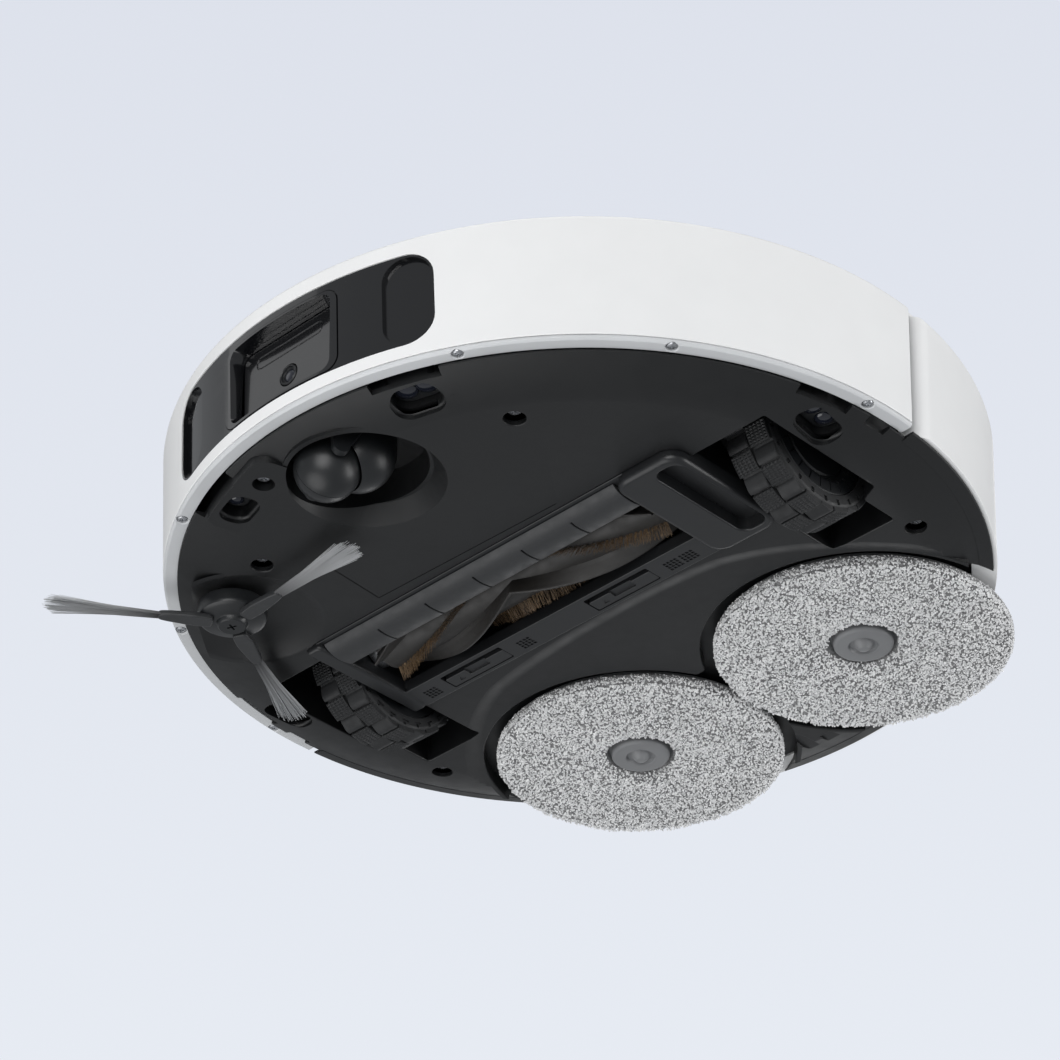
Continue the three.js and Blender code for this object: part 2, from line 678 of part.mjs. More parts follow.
// ---- Main brush and its cover ----
// The brush's section, from three rubber fins to three lower bristle rows and back.
function brushSection() {
  const points = [];
  const lobes = 6;
  for (let i = 0; i < lobes; i++) {
    const fin = i % 2 === 0;
    const [tip, half] = fin ? [BRUSH.r, 0.11] : [BRUSH.r - 1.2, 0.2];
    const middle = (2 * Math.PI * i) / lobes;
    const corners = [[11, -0.3], [tip, -half], [tip, half], [11, 0.3]];
    corners.forEach(([r, a]) => points.push([r * Math.cos(middle + a), r * Math.sin(middle + a)]));
  }
  return outline(points);
}

// The fins wind a half turn round the brush and meet in a V at its middle. The axis is X.
function mainBrush() {
  const [low, high] = [-91, 69];
  const middle = (low + high) / 2;
  const options = { depth: high - low, bevelEnabled: false, steps: 6 };
  const roller = new THREE.ExtrudeGeometry(brushSection(), options).translate(0, 0, low);
  const position = roller.getAttribute("position");
  for (let i = 0; i < position.count; i++) {
    const twist = Math.abs(position.getZ(i) - middle) * 0.026;
    const [x, y] = [position.getX(i), position.getY(i)];
    position.setX(i, x * Math.cos(twist) - y * Math.sin(twist));
    position.setY(i, x * Math.sin(twist) + y * Math.cos(twist));
  }
  roller.rotateX(Math.PI / 2).rotateZ(Math.PI / 2);
  return join(roller, rodX(4, [high - 1, 82], 0, 0, 12), rodX(3, [-97.2, low + 1], 0, 0, 12));
}

const brushBearing = () =>
  cut(rodX(8, [-97.6, -92.6], BRUSH.y, BRUSH.z, 16), rodX(3.4, [-99, -90], BRUSH.y, BRUSH.z, 12));

const LATCHES = [
  { name: "brush_latch_left", x: [5, 40] },
  { name: "brush_latch_right", x: [-79, -44] },
];
const LATCH_Y = [-0.8, 5.8];
const LATCH_TRAVEL = 2.5;

// A frame round the suction mouth, with a thick cap over the brush's driven end.
function brushCover() {
  const plate = raised(roundedRect(COVER_X, COVER_Y, 8), [PLATE_Z, COVER_TOP]);
  const mouth = block(MOUTH_X, MOUTH_Y, [0, 20]);
  const foot = raised(roundedRect(COVER_X, COVER_Y, 8), [9.3, 13]);
  const rightBar = common(foot, block([-120, MOUTH_X[0]], [-70, 20], [0, 20]));
  const rearBar = block([-99, 72], [MOUTH_Y[1], COVER_Y[1]], [10, 13]);
  const endCap = raised(roundedRect([MOUTH_X[1], COVER_X[1]], COVER_Y, 8), [7.4, 13]);
  const capHollow = raised(roundedRect([88, 101.5], [-52, 3], 5), [0, 13.8]);
  const latchSlot = [LATCH_Y[0] - LATCH_TRAVEL - 0.5, LATCH_Y[1] + GAP];
  const latchSlots = LATCHES.map(({ x }) => block(x, latchSlot, [0, 12.8]));
  const tyreRelief = block([-112, -104.3], [-60, 20], [0, 12]);
  return cut(join(plate, rightBar, rearBar, endCap), mouth, capHollow, ...latchSlots, tyreRelief);
}

// A row of rubber flaps ahead of the mouth, cut into six and held by their front edge.
function brushFlap() {
  const section = new THREE.Shape();
  section.moveTo(-55, 11.7);
  section.bezierCurveTo(-52, 8.2, -45, 7.2, -38.6, 9.4);
  section.lineTo(-38.6, 10.9);
  section.bezierCurveTo(-45, 9, -49, 9.6, -51, 11.7);
  const strip = raisedX(section, [-96.7, 69.7], 4);
  const slits = [1, 2, 3, 4, 5].map((i) => {
    const x = -96.7 + (166.4 * i) / 6;
    return block([x - 0.4, x + 0.4], [-50, -30], [0, 12.5]);
  });
  return cut(strip, ...slits);
}

function brushLatch(x) {
  const tab = block([x[0] + GAP, x[1] - GAP], LATCH_Y, [10.1, 12.5]);
  const grip = block([x[0] + 12, x[0] + 24], [LATCH_Y[0] - 1, LATCH_Y[1] - 2.6], [9, 11]);
  return cut(tab, grip);
}

// ---- Side brush ----
// The hub, its shaft and three arms that widen outwards, about the hub's axis.
function sideBrush() {
  const hub = turned([[0, 3.4], [6, 3.4], [7, 5.4], [13, 6.6], [14.5, 8.5], [14.5, 13.5], [0, 13.5]], 16);
  const shaft = rodZ(3, [13, 26], 0, 0, 10);
  const edge = [[5, 4.2], [46, 2.6], [SIDE_BRUSH.reach, 6.5]];
  const otherEdge = edge.map(([x, y]) => [x, -y]).reverse();
  const arm = raised(outline([...otherEdge.reverse(), ...edge.reverse()]), [3.9, 6.2]);
  const arms = [0, 1, 2].map((i) =>
    arm.clone().rotateZ(THREE.MathUtils.degToRad(SIDE_BRUSH.firstArm + 120 * i)),
  );
  return join(hub, shaft, ...arms);
}

// ---- Wheels, on the robot's left side; the right side mirrors them ----
// The arm swings about its pin and carries the wheel's motor, which fills the wheel's hub.
function wheelModule() {
  const web = outline([
    [ARM_PIVOT.y - 6, ARM_PIVOT.z + 6.5],
    [ARM_PIVOT.y - 5, ARM_PIVOT.z - 7],
    [WHEEL_Y - 12, WHEEL_R - 16],
    [WHEEL_Y + 3, WHEEL_R + 19],
  ]);
  const plate = join(
    raisedX(web, ARM_X),
    rodX(9, ARM_X, ARM_PIVOT.y, ARM_PIVOT.z, 12),
    rodX(18, ARM_X, WHEEL_Y, WHEEL_R, 16),
  );
  const motor = rodX(17, [ARM_X[0] + 1, 120], WHEEL_Y, WHEEL_R, 16);
  const axle = rodX(3, [119, 128.5], WHEEL_Y, WHEEL_R, 12);
  const pin = rodX(4, [95, ARM_X[0] + 1], ARM_PIVOT.y, ARM_PIVOT.z, 12);
  const seat = block([ARM_X[0] - 0.3, 107.4], [-1.6, 6.4], [52, 58]);
  return join(plate, motor, axle, pin, seat);
}

// A cup that turns on the axle, with its web outwards, about its own axis from its inner face.
function wheelHub() {
  const profile = [[26.6, 1], [26.6, 21.4], [21, 22], [18, 19.6], [3.4, 19.6], [3.4, 15], [22, 15], [22, 1]];
  return turned(profile, 18).rotateY(Math.PI / 2);
}

const TREAD_PITCHES = 9;

// A tyre with two staggered rows of blocks, about its own axis from its inner face.
function wheelTyre() {
  const width = WHEEL_X[1] - WHEEL_X[0];
  const ring = turned([[27.2, 0], [32.4, 0], [32.4, width], [27.2, width]], 18);
  const step = 360 / TREAD_PITCHES;
  const blocks = [];
  for (let i = 0; i < TREAD_PITCHES; i++) {
    const inner = sector(31.8, WHEEL_R, i * step, (i + 0.62) * step);
    const outer = sector(31.8, WHEEL_R, (i + 0.5) * step, (i + 1.12) * step);
    blocks.push(raised(inner, [0.6, width / 2 - 0.4], 1), raised(outer, [width / 2 + 0.4, width - 0.6], 1));
  }
  return geometryOf(join(ring, ...blocks)).rotateX(Math.PI / 2).rotateZ(Math.PI / 2);
}

// ---- Caster ----
const trail = new THREE.Vector2(CASTER_BALL.x - CASTER.x, CASTER_BALL.y - CASTER.y);
const TRAIL_ANGLE = trail.angle();
const TRAIL = trail.length();

// The swivelling dome, about the swivel's axis with the ball towards +X. Two arms reach out to hold the axle.
function casterFork() {
  const dome = [[0, 8.6], [6, 9.4], [10.5, 12.2], [13.6, 17], [15.5, 24], [15.5, 34.2]];
  const bowl = turned([...dome, [4, 34.2], [4, 44], [0, 44]], 16);
  const reach = TRAIL + 4.5;
  const inner = CASTER_BALL.r + 1.1;
  const outer = CASTER_BALL.r + 4.9;
  const yoke = block([-8, reach], [-outer, outer], [9.5, 34.2]);
  const space = block([-9, reach + 1], [-inner, inner], [0, 29.5]);
  const behind = block([-9, 2], [-outer - 1, outer + 1], [0, 29.5]);
  const nest = new THREE.SphereGeometry(CASTER_BALL.r + 1, 14, 8).translate(TRAIL, 0, CASTER_BALL.r);
  const pinHole = rodY(2.3, [-17, 17], TRAIL, CASTER_BALL.r, 8);
  return cut(join(cut(yoke, space, behind), bowl), nest, pinHole);
}

// The ball on its stub axles, about its own centre with the axle along Y.
function casterBall() {
  const r = CASTER_BALL.r;
  const cap = 0.42 * Math.PI;
  const rim = Array.from({ length: 7 }, (_, i) => {
    const a = -cap + (2 * cap * i) / 6;
    return [r * Math.cos(a), r * Math.sin(a)];
  });
  const end = rim[6][1];
  return turned([[0, -end], ...rim, [0, end]], 16).rotateX(-Math.PI / 2);
}

const casterAxle = () => rodY(1.9, [-16.4, 16.4], 0, 0, 8);

// ---- Mops ----
// A motor unit that lifts and lowers, with a hollow shaft through the chassis, about the mop's axis.
function mopDrive() {
  const can = join(rodZ(20, [33.2, 58], 0, 0, 20), block([-12, 12], [14, 24], [36, 50]));
  return cut(join(can, rodZ(9, [21, 34], 0, 0, 16)), rodZ(5.5, [20, 44], 0, 0, 16));
}

// The plate that carries the cloth, with a low cone and a boss in the middle of the cloth.
function mopDisc() {
  const cone = [[0, 10.7], [5, 10.7], [6.2, 12.8], [13.6, 13.6], [13.6, 16.6]];
  const plate = [[61, 16.6], [61, 18.3], [5, 18.3]];
  return turned([...cone, ...plate, [5, 42], [0, 42]], 18);
}

function mopPad() {
  const { r, low, high } = MOP;
  return turned([[14.4, low], [r - 2.4, low], [r, low + 2.2], [r, high], [14.4, high]], 24);
}

// ---- The assembly ----
const robot = new THREE.Group();

function place(parent, name, part, material, position = [0, 0, 0]) {
  const mesh = new THREE.Mesh(geometryOf(part), material);
  mesh.name = name;
  mesh.position.set(...position);
  parent.add(mesh);
  return mesh;
}

function addShells() {
  place(robot, "chassis_base", chassisBase(), charcoal);
  place(robot, "rear_shell", rearShell(), white);
  place(robot, "top_cover", topCover(), white);
  place(robot, "lid", lid(), white);
  place(robot, "power_button", button(), greyTrim, [-BUTTON_X, BUTTONS_Y, 76.8]);
  place(robot, "home_button", button(), greyTrim, [BUTTON_X, BUTTONS_Y, 76.8]);
  place(robot, "lidar_turret_cap", turretCap(), white, [TURRET.x, TURRET.y, 0]);
  place(robot, "lidar_rotor", lidarRotor(), glossBlack, [TURRET.x, TURRET.y, 78.6]);
}

function addBumper() {
  place(robot, "bumper_shell", bumperShell(), white);
  place(robot, "bumper_bezel", bumperBezel(), greyTrim);
  place(robot, "bumper_window", bumperWindow(), glossBlack);
  place(robot, "camera_pane", cameraPane(), glossBlack);
  place(robot, "camera_lens", cameraLens(), glossBlack, [0, PANE_Y[0] - 0.3, LENS_Z]);
  SCREW_ANGLES.forEach((angle, i) => {
    const screw = place(robot, `bezel_screw_${i + 1}`, bezelScrew(), steel, [...screwPlace(angle), 20.1]);
    screw.rotation.z = THREE.MathUtils.degToRad(angle);
  });
  const { x, y, z, length } = BUMPER_SPRING;
  [["left", x], ["right", -x]].forEach(([side, at]) => {
    const coil = place(robot, `bumper_spring_${side}`, spring(3, 0.45, [0, length], 3), steel, [at, y, z]);
    coil.rotation.x = Math.PI / 2;
  });
}

function addInnerUnits() {
  place(robot, "sensor_module", sensorModule(), darkCover);
  place(robot, "battery_pack", batteryPack(), batteryWrap);
  place(robot, "main_board", mainBoard(), circuit);
  place(robot, "water_tank", waterTank(), clearTank);
  place(robot, "suction_fan_housing", fanHousing(), darkCover, [FAN.x, FAN.y, 0]);
  place(robot, "suction_fan_impeller", fanImpeller(), hubGrey, [FAN.x, FAN.y, 41]);
  place(robot, "dust_bin", dustBin(), clearTank);
  place(robot, "dust_filter", dustFilter(), cloth);
  CLIFF_SENSORS.forEach((sensor) => place(robot, sensor.name, cliffSensor(sensor.place), glossBlack));
  [["left", 1], ["right", -1]].forEach(([side, sign]) => {
    const { turn, at } = contactPlace(sign);
    place(robot, `charging_contact_${side}`, contactStrip(0), copper, at).rotation.z = turn;
  });
}

function addBrushes() {
  place(robot, "main_brush", mainBrush(), bristle, [0, BRUSH.y, BRUSH.z]);
  place(robot, "main_brush_bearing", brushBearing(), darkCover);
  place(robot, "main_brush_motor", mainBrushMotor(), darkCover);
  place(robot, "brush_cover", brushCover(), darkCover);
  place(robot, "brush_flap", brushFlap(), rubber);
  LATCHES.forEach(({ name, x }) => place(robot, name, brushLatch(x), darkCover));
  place(robot, "side_brush", sideBrush(), rubber, [SIDE_BRUSH.x, SIDE_BRUSH.y, 0]);
  place(robot, "side_brush_motor", sideBrushMotor(), darkCover);
}

function addWheels() {
  [["left", 1], ["right", -1]].forEach(([side, mirror]) => {
    const group = new THREE.Group();
    group.scale.x = mirror;
    place(group, `wheel_module_${side}`, wheelModule(), darkCover);
    place(group, `wheel_hub_${side}`, wheelHub(), charcoal, [WHEEL_X[0], WHEEL_Y, WHEEL_R]);
    place(group, `wheel_tyre_${side}`, wheelTyre(), rubber, [WHEEL_X[0], WHEEL_Y, WHEEL_R]);
    place(group, `wheel_spring_${side}`, spring(2.2, 0.4, [0, 15.8], 3), steel, [104.4, 2.4, 58.3]);
    robot.add(group);
  });
}

function addCaster() {
  const fork = place(robot, "caster_fork", casterFork(), charcoal, [CASTER.x, CASTER.y, 0]);
  fork.rotation.z = TRAIL_ANGLE;
  const ball = join(casterBall(), casterAxle());
  const at = [CASTER_BALL.x, CASTER_BALL.y, CASTER_BALL.r];
  place(robot, "caster_ball", ball, charcoal, at).rotation.z = TRAIL_ANGLE;
}

function addMops() {
  [["left", 1], ["right", -1]].forEach(([side, mirror]) => {
    const at = [mirror * MOP.x, MOP.y, 0];
    place(robot, `mop_drive_${side}`, mopDrive(), darkCover, at);
    place(robot, `mop_disc_${side}`, mopDisc(), hubGrey, at);
    place(robot, `mop_pad_${side}`, mopPad(), cloth, at);
  });
}

addShells();
addBumper();
addInnerUnits();
addBrushes();
addWheels();
addCaster();
addMops();

export default robot;
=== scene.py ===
"""A round robot vacuum and mop, seen from below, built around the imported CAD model.

Lengths in this script are in millimetres and angles in degrees. The mesh helpers turn them into metres.
+Z is up, the front is -Y, the robot's left is +X, and the origin is on the floor under the body's axis.
"""

import json
import math
import random

import bpy
import numpy as np
from mathutils import Matrix, Vector


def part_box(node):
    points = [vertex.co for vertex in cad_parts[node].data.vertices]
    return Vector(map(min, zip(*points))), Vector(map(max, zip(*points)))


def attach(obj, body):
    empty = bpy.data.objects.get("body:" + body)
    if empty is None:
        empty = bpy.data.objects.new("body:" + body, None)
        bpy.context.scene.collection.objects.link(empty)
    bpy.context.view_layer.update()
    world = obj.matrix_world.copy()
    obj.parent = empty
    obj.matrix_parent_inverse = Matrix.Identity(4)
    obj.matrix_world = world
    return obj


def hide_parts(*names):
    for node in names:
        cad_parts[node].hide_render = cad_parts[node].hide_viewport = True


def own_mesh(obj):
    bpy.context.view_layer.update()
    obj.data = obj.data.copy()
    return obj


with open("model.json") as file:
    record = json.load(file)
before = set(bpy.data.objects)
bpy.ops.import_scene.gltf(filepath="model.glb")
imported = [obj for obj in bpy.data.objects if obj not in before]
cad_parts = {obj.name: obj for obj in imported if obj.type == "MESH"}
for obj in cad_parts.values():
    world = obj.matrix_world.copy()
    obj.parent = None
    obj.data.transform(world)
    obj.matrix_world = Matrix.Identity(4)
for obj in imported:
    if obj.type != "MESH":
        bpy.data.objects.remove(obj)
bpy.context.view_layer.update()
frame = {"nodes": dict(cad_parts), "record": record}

MM = 0.001
ROUND = 256  # sides of the large round pieces
X, Y, Z = "XYZ"


def edges(node):
    """Lowest and highest corner of a CAD node, in millimetres."""
    low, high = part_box(node)
    return low / MM, high / MM


def middle_of(node):
    """Centre of a CAD node, in millimetres."""
    low, high = edges(node)
    return (low + high) / 2


# ---- Sizes, from the CAD model where it has them ----
WALL_LOW = edges("rear_shell")[0].z
WALL_HIGH = edges("bumper_shell")[1].z
BUMPER_LOW = edges("bumper_shell")[0].z
BUMPER_END = edges("bumper_shell")[1].y
WALL_R = 173.0  # at its foot
WALL_FLARE = 2.5
SKIN = 2.5
GAP = 0.3
PLATE = edges("chassis_base")[0].z
RIM_R = 167.0
FRAME_R = 161.5
WINDOW_LOW, WINDOW_HIGH = edges("bumper_window")
MOP_X = middle_of("mop_pad_left").x
MOP_Y = middle_of("mop_pad_left").y
WHEEL = middle_of("wheel_tyre_left")
WHEEL_R = 34.8
SIDE_BRUSH = (-104.7, -99.4)
CASTER = Vector((0.0, -128.0, 0.0))
BALL = Vector((-5.3, -139.6, 13.5))
ROLLER_Y, ROLLER_Z = -22.0, 24.3
SCREW_R = 170.3
SCREW_ANGLES = (-84.5, -55.3, -27.5, 27.5, 55.3, 84.5)


# ---- Outlines: lists of (u, v) points, anticlockwise ----
def arc(cu, cv, r, start, end, steps):
    """Points on an arc, both ends included."""
    turn = math.radians(end - start)
    first = math.radians(start)
    angles = [first + turn * i / steps for i in range(steps + 1)]
    return [(cu + r * math.cos(a), cv + r * math.sin(a)) for a in angles]


def circle(cu, cv, r, sides=64):
    return arc(cu, cv, r, 0, 360, sides)[:-1]


def rounded_rect(u, v, radius, grow=0.0, steps=8):
    """A rectangle with round corners, made larger all round by grow."""
    r = radius + grow
    (u0, u1), (v0, v1) = u, v
    left, right, low, high = u0 + radius, u1 - radius, v0 + radius, v1 - radius
    return (
        arc(right, low, r, -90, 0, steps)
        + arc(right, high, r, 0, 90, steps)
        + arc(left, high, r, 90, 180, steps)
        + arc(left, low, r, 180, 270, steps)
    )


def rect_shape(u, v, radius, extra=0.0):
    """A rounded rectangle as a shape(grow), for slab and pit."""
    return lambda grow: rounded_rect(u, v, radius, grow + extra)


def disc_shape(at, r, sides):
    """A circle as a shape(grow), for slab and pit."""
    return lambda grow: circle(at[0], at[1], r + grow, sides)


def turned_outline(points, angle, at=(0.0, 0.0)):
    """An outline turned about its own origin and moved."""
    c, s = math.cos(math.radians(angle)), math.sin(math.radians(angle))
    return [(at[0] + u * c - v * s, at[1] + u * s + v * c) for u, v in points]


def mirrored(points):
    """The same outline on the other side of the body, still anticlockwise."""
    return [(-u, v) for u, v in reversed(points)]


def soften(points, radius, steps=4, closed=True):
    """Rounds the corners of an outline or a profile."""
    count = len(points)
    out = []
    for i, corner in enumerate(points):
        if not closed and i in (0, count - 1):
            out.append(corner)
            continue
        here = Vector(corner)
        back = Vector(points[i - 1]) - here
        ahead = Vector(points[(i + 1) % count]) - here
        reach = min(radius, back.length * 0.45, ahead.length * 0.45)
        start = here + back.normalized() * reach
        end = here + ahead.normalized() * reach
        for k in range(steps + 1):
            t = k / steps
            out.append(tuple(start * (1 - t) ** 2 + here * 2 * t * (1 - t) + end * t * t))
    return out


def grown(points, distance):
    """An outline moved outwards by a distance, point by point."""
    ring = np.array(points, float)
    tangent = np.roll(ring, -1, 0) - np.roll(ring, 1, 0)
    tangent /= np.linalg.norm(tangent, axis=1)[:, None] + 1e-12
    normal = np.stack([tangent[:, 1], -tangent[:, 0]], 1)
    return [tuple(p) for p in ring + normal * distance]


# ---- Meshes ----
def mesh_piece(name, points, faces):
    """A mesh object from points in millimetres."""
    mesh = bpy.data.meshes.new(name)
    mesh.from_pydata([Vector(p) * MM for p in points], [], faces)
    mesh.validate()
    return add_object(name, mesh)


def tube_faces(rings, count, start=0):
    """The quads between rings of as many points each, which are numbered ring by ring."""
    faces = []
    for low in range(start, start + (rings - 1) * count, count):
        for i in range(count):
            j = (i + 1) % count
            faces.append((low + i, low + j, low + count + j, low + count + i))
    return faces


def add_object(name, data):
    obj = bpy.data.objects.new(name, data)
    bpy.context.scene.collection.objects.link(obj)
    return obj


def loft(levels):
    """A closed solid through a stack of (outline, z) levels, all with as many points."""
    count = len(levels[0][0])
    points = [(u, v, z) for outline, z in levels for u, v in outline]
    bottom = tuple(reversed(range(count)))
    top = tuple(range(len(points) - count, len(points)))
    return mesh_piece("solid", points, [bottom] + tube_faces(len(levels), count) + [top])


def prism(outline, low, high):
    return loft([(outline, low), (outline, high)])


def slab(shape, low, high, foot=0.6, head=0.6, steps=3):
    """A solid between two heights whose lower and upper edges are rounded. shape(grow) gives its outline."""
    turns = [math.radians(90 * k / steps) for k in range(steps + 1)]
    levels = [(shape(-foot * (1 - math.sin(a))), low + foot * (1 - math.cos(a))) for a in turns]
    levels += [(shape(-head * (1 - math.cos(a))), high - head * (1 - math.sin(a))) for a in turns]
    return loft(levels)


def pit(shape, mouth, roof, lip=0.8, steps=4):
    """A cutter for a pocket open downwards, whose mouth at that height flares with a rounded edge."""
    levels = [(shape(lip), mouth - 6), (shape(lip), mouth)]
    for k in range(1, steps + 1):
        a = math.radians(90 * k / steps)
        levels.append((shape(lip * (1 - math.sin(a))), mouth + lip * (1 - math.cos(a))))
    return loft(levels + [(shape(0), roof)])


def lathe(profile, sides=ROUND, at=(0.0, 0.0, 0.0), axis=Z):
    """A profile of (radius, height) turned about an axis. It ends on the axis or closes on itself."""
    on_axis = [r < 1e-6 for r, h in profile]
    points, faces, rows = [], [], []
    for (r, h), single in zip(profile, on_axis):
        count = 1 if single else sides
        rows.append([len(points) + (0 if single else i) for i in range(sides)])
        angles = [2 * math.pi * i / sides for i in range(count)]
        points += [(0.0, 0.0, h)] if single else [(r * math.cos(a), r * math.sin(a), h) for a in angles]
    pairs = list(zip(rows, rows[1:]))
    if not (on_axis[0] and on_axis[-1]):
        pairs.append((rows[-1], rows[0]))
    for low, high in pairs:
        for i in range(sides):
            j = (i + 1) % sides
            face = tuple(dict.fromkeys((low[i], low[j], high[j], high[i])))
            if len(face) > 2:
                faces.append(face)
    if signed_area(profile) < 0:
        faces = [f[::-1] for f in faces]
    return moved(mesh_piece("solid", points, faces), at, axis)


AXIS_TURNS = {
    Z: Matrix.Identity(4),
    Y: Matrix.Rotation(math.radians(-90), 4, "X"),
    X: Matrix.Rotation(math.radians(90), 4, "Y"),
}


def moved(obj, at=(0.0, 0.0, 0.0), axis=Z, turn=0.0):
    """Turns a mesh built about Z by an angle, lays it along an axis and moves it."""
    spin = Matrix.Rotation(math.radians(turn), 4, "Z")
    obj.data.transform(Matrix.Translation(Vector(at) * MM) @ AXIS_TURNS[axis] @ spin)
    return obj


def rod(r, ends, at=(0.0, 0.0), axis=Z, sides=48):
    """A round rod along an axis. at holds its place in the other two directions, in X, Y, Z order."""
    low, high = ends
    where = {Z: (at[0], at[1], 0), Y: (at[0], 0, at[1]), X: (0, at[0], at[1])}[axis]
    return lathe([(0, low), (r, low), (r, high), (0, high)], sides, at=where, axis=axis)


def box_solid(x, y, z):
    return prism([(x[0], y[0]), (x[1], y[0]), (x[1], y[1]), (x[0], y[1])], z[0], z[1])


def crossed_bars(arm, width, z, at=(0, 0)):
    """Two crossed bars that cut a screw's recess."""
    x, y = at
    return [box_solid((x - a, x + a), (y - b, y + b), z) for a, b in ((width, arm), (arm, width))]


def flipped(obj):
    """The piece mirrored to the other side of the body."""
    obj.data.transform(Matrix.Scale(-1, 4, (1, 0, 0)))
    obj.data.flip_normals()
    return obj


def bake(obj):
    """Applies the modifiers to the mesh."""
    depsgraph = bpy.context.evaluated_depsgraph_get()
    mesh = bpy.data.meshes.new_from_object(obj.evaluated_get(depsgraph))
    obj.modifiers.clear()
    obj.data = mesh
    return obj


def combine(obj, others, operation):
    """Cuts, joins or intersects closed solids. The others are used up."""
    for other in others:
        modifier = obj.modifiers.new(operation, "BOOLEAN")
        modifier.operation = operation
        modifier.solver = "MANIFOLD"
        modifier.object = other
    bake(obj)
    for other in others:
        bpy.data.objects.remove(other)
    return obj


def cut(obj, *others):
    return combine(obj, others, "DIFFERENCE")


def join(obj, *others):
    return combine(obj, others, "UNION")


def common(obj, *others):
    return combine(obj, others, "INTERSECT")


def merged(name, objects):
    """One object that holds several separate solids. The others are used up."""
    points, faces, start = [], [], 0
    for obj in objects:
        points += [v.co / MM for v in obj.data.vertices]
        faces += [tuple(start + i for i in p.vertices) for p in obj.data.polygons]
        start = len(points)
        bpy.data.objects.remove(obj)
    return mesh_piece(name, points, faces)


def finished(obj, name, body, nodes, material, bevel=0.0, sharp=32):
    """Names a piece, shades it, parents it to its body's empty and hides the CAD nodes it stands for."""
    obj.name = name
    obj.data.name = name
    obj.data.materials.clear()
    obj.data.materials.append(material)
    for face in obj.data.polygons:
        face.use_smooth = True
        face.material_index = 0
    obj.data.set_sharp_from_angle(angle=math.radians(sharp))
    if bevel:
        edge = obj.modifiers.new("edges", "BEVEL")
        edge.width = bevel * MM
        edge.segments = 3
        edge.limit_method = "ANGLE"
        edge.angle_limit = math.radians(sharp)
    weights = obj.modifiers.new("shading", "WEIGHTED_NORMAL")
    weights.keep_sharp = True
    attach(obj, body)
    if nodes:
        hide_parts(*nodes)
    return obj


def from_cad(node, name, material, bevel=0.4):
    """A piece with the CAD node's shape, its facets joined and its edges rounded."""
    obj = add_object(name, frame["nodes"][node].data.copy())
    weld = obj.modifiers.new("weld", "WELD")
    weld.merge_threshold = 0.01 * MM
    flat = obj.modifiers.new("flat", "DECIMATE")
    flat.decimate_type = "DISSOLVE"
    flat.angle_limit = math.radians(1)
    bake(obj)
    return finished(obj, name, body_of(node), [node], material, bevel, sharp=40)


def body_of(node):
    groups = frame["record"]["behaviour"]["bodies"]
    return next(body for body, members in groups.items() if node in members)


def feed(socket, value):
    """Sets a shader input, or wires another node's output to it."""
    if isinstance(value, bpy.types.NodeSocket):
        socket.id_data.links.new(value, socket)
    else:
        socket.default_value = value


def add_node(tree, kind, **inputs):
    """A shader node with its inputs set or wired by name."""
    node = tree.nodes.new("ShaderNode" + kind)
    for name, value in inputs.items():
        feed(node.inputs[name.replace("_", " ")], value)
    return node


def dress(tree, **inputs):
    """Sets or wires the inputs of a material's surface shader by name."""
    for name, value in inputs.items():
        feed(tree.nodes["Principled BSDF"].inputs[name.replace("_", " ")], value)


# ---- Materials ----
def new_material(name):
    material = bpy.data.materials.new(name)
    material.use_nodes = True
    return material, material.node_tree


def noise(tree, size, detail=3.0, stretch=(1, 1, 1)):
    """Noise in the piece's own space, with features about that many millimetres across."""
    coords = add_node(tree, "TexCoord").outputs["Object"]
    place = add_node(tree, "Mapping", Vector=coords, Scale=stretch).outputs["Vector"]
    return add_node(tree, "TexNoise", Vector=place, Scale=1 / (size * MM), Detail=detail).outputs["Fac"]


def ranged(tree, value, low, high, start=0.3, end=0.7):
    """Maps a value that runs from start to end onto a range of numbers."""
    limits = {"From_Min": start, "From_Max": end, "To_Min": low, "To_Max": high}
    return add_node(tree, "MapRange", Value=value, **limits).outputs["Result"]


def two_tones(tree, value, first, second, start=0.35, end=0.65):
    """A colour that runs from one tone to another as a value goes from start to end."""
    ramp = add_node(tree, "ValToRGB", Fac=value)
    for stop, position, tone in zip(ramp.color_ramp.elements, (start, end), (first, second)):
        stop.position = position
        stop.color = (*tone, 1)
    return ramp.outputs["Color"]


def blended(tree, factor, first, second):
    """Mixes two colours. A mix node has its colour inputs at 6 and 7 and its colour output at 2."""
    mix = add_node(tree, "Mix", Factor=factor)
    mix.data_type = "RGBA"
    feed(mix.inputs[6], first)
    feed(mix.inputs[7], second)
    return mix.outputs[2]


def bumped(tree, height, depth, strength=1.0):
    """A relief of that depth in millimetres."""
    return add_node(tree, "Bump", Height=height, Distance=depth * MM, Strength=strength).outputs["Normal"]


def scaled(color, factor):
    return tuple(min(1.0, c * factor) for c in color)


def plastic(name, color, roughness, grain=0.35, depth=0.012, spread=0.05, coat=0.0):
    """Moulded plastic: a fine spark-eroded grain, slightly uneven in tone and gloss."""
    material, tree = new_material(name)
    tone = two_tones(tree, noise(tree, 30), scaled(color, 1 - spread), scaled(color, 1 + spread))
    sheen = ranged(tree, noise(tree, 9, 5), roughness - 0.05, roughness + 0.05)
    relief = bumped(tree, noise(tree, grain, 2), depth)
    dress(tree, Base_Color=tone, Roughness=sheen, Normal=relief, Coat_Weight=coat, Coat_Roughness=0.08)
    return material


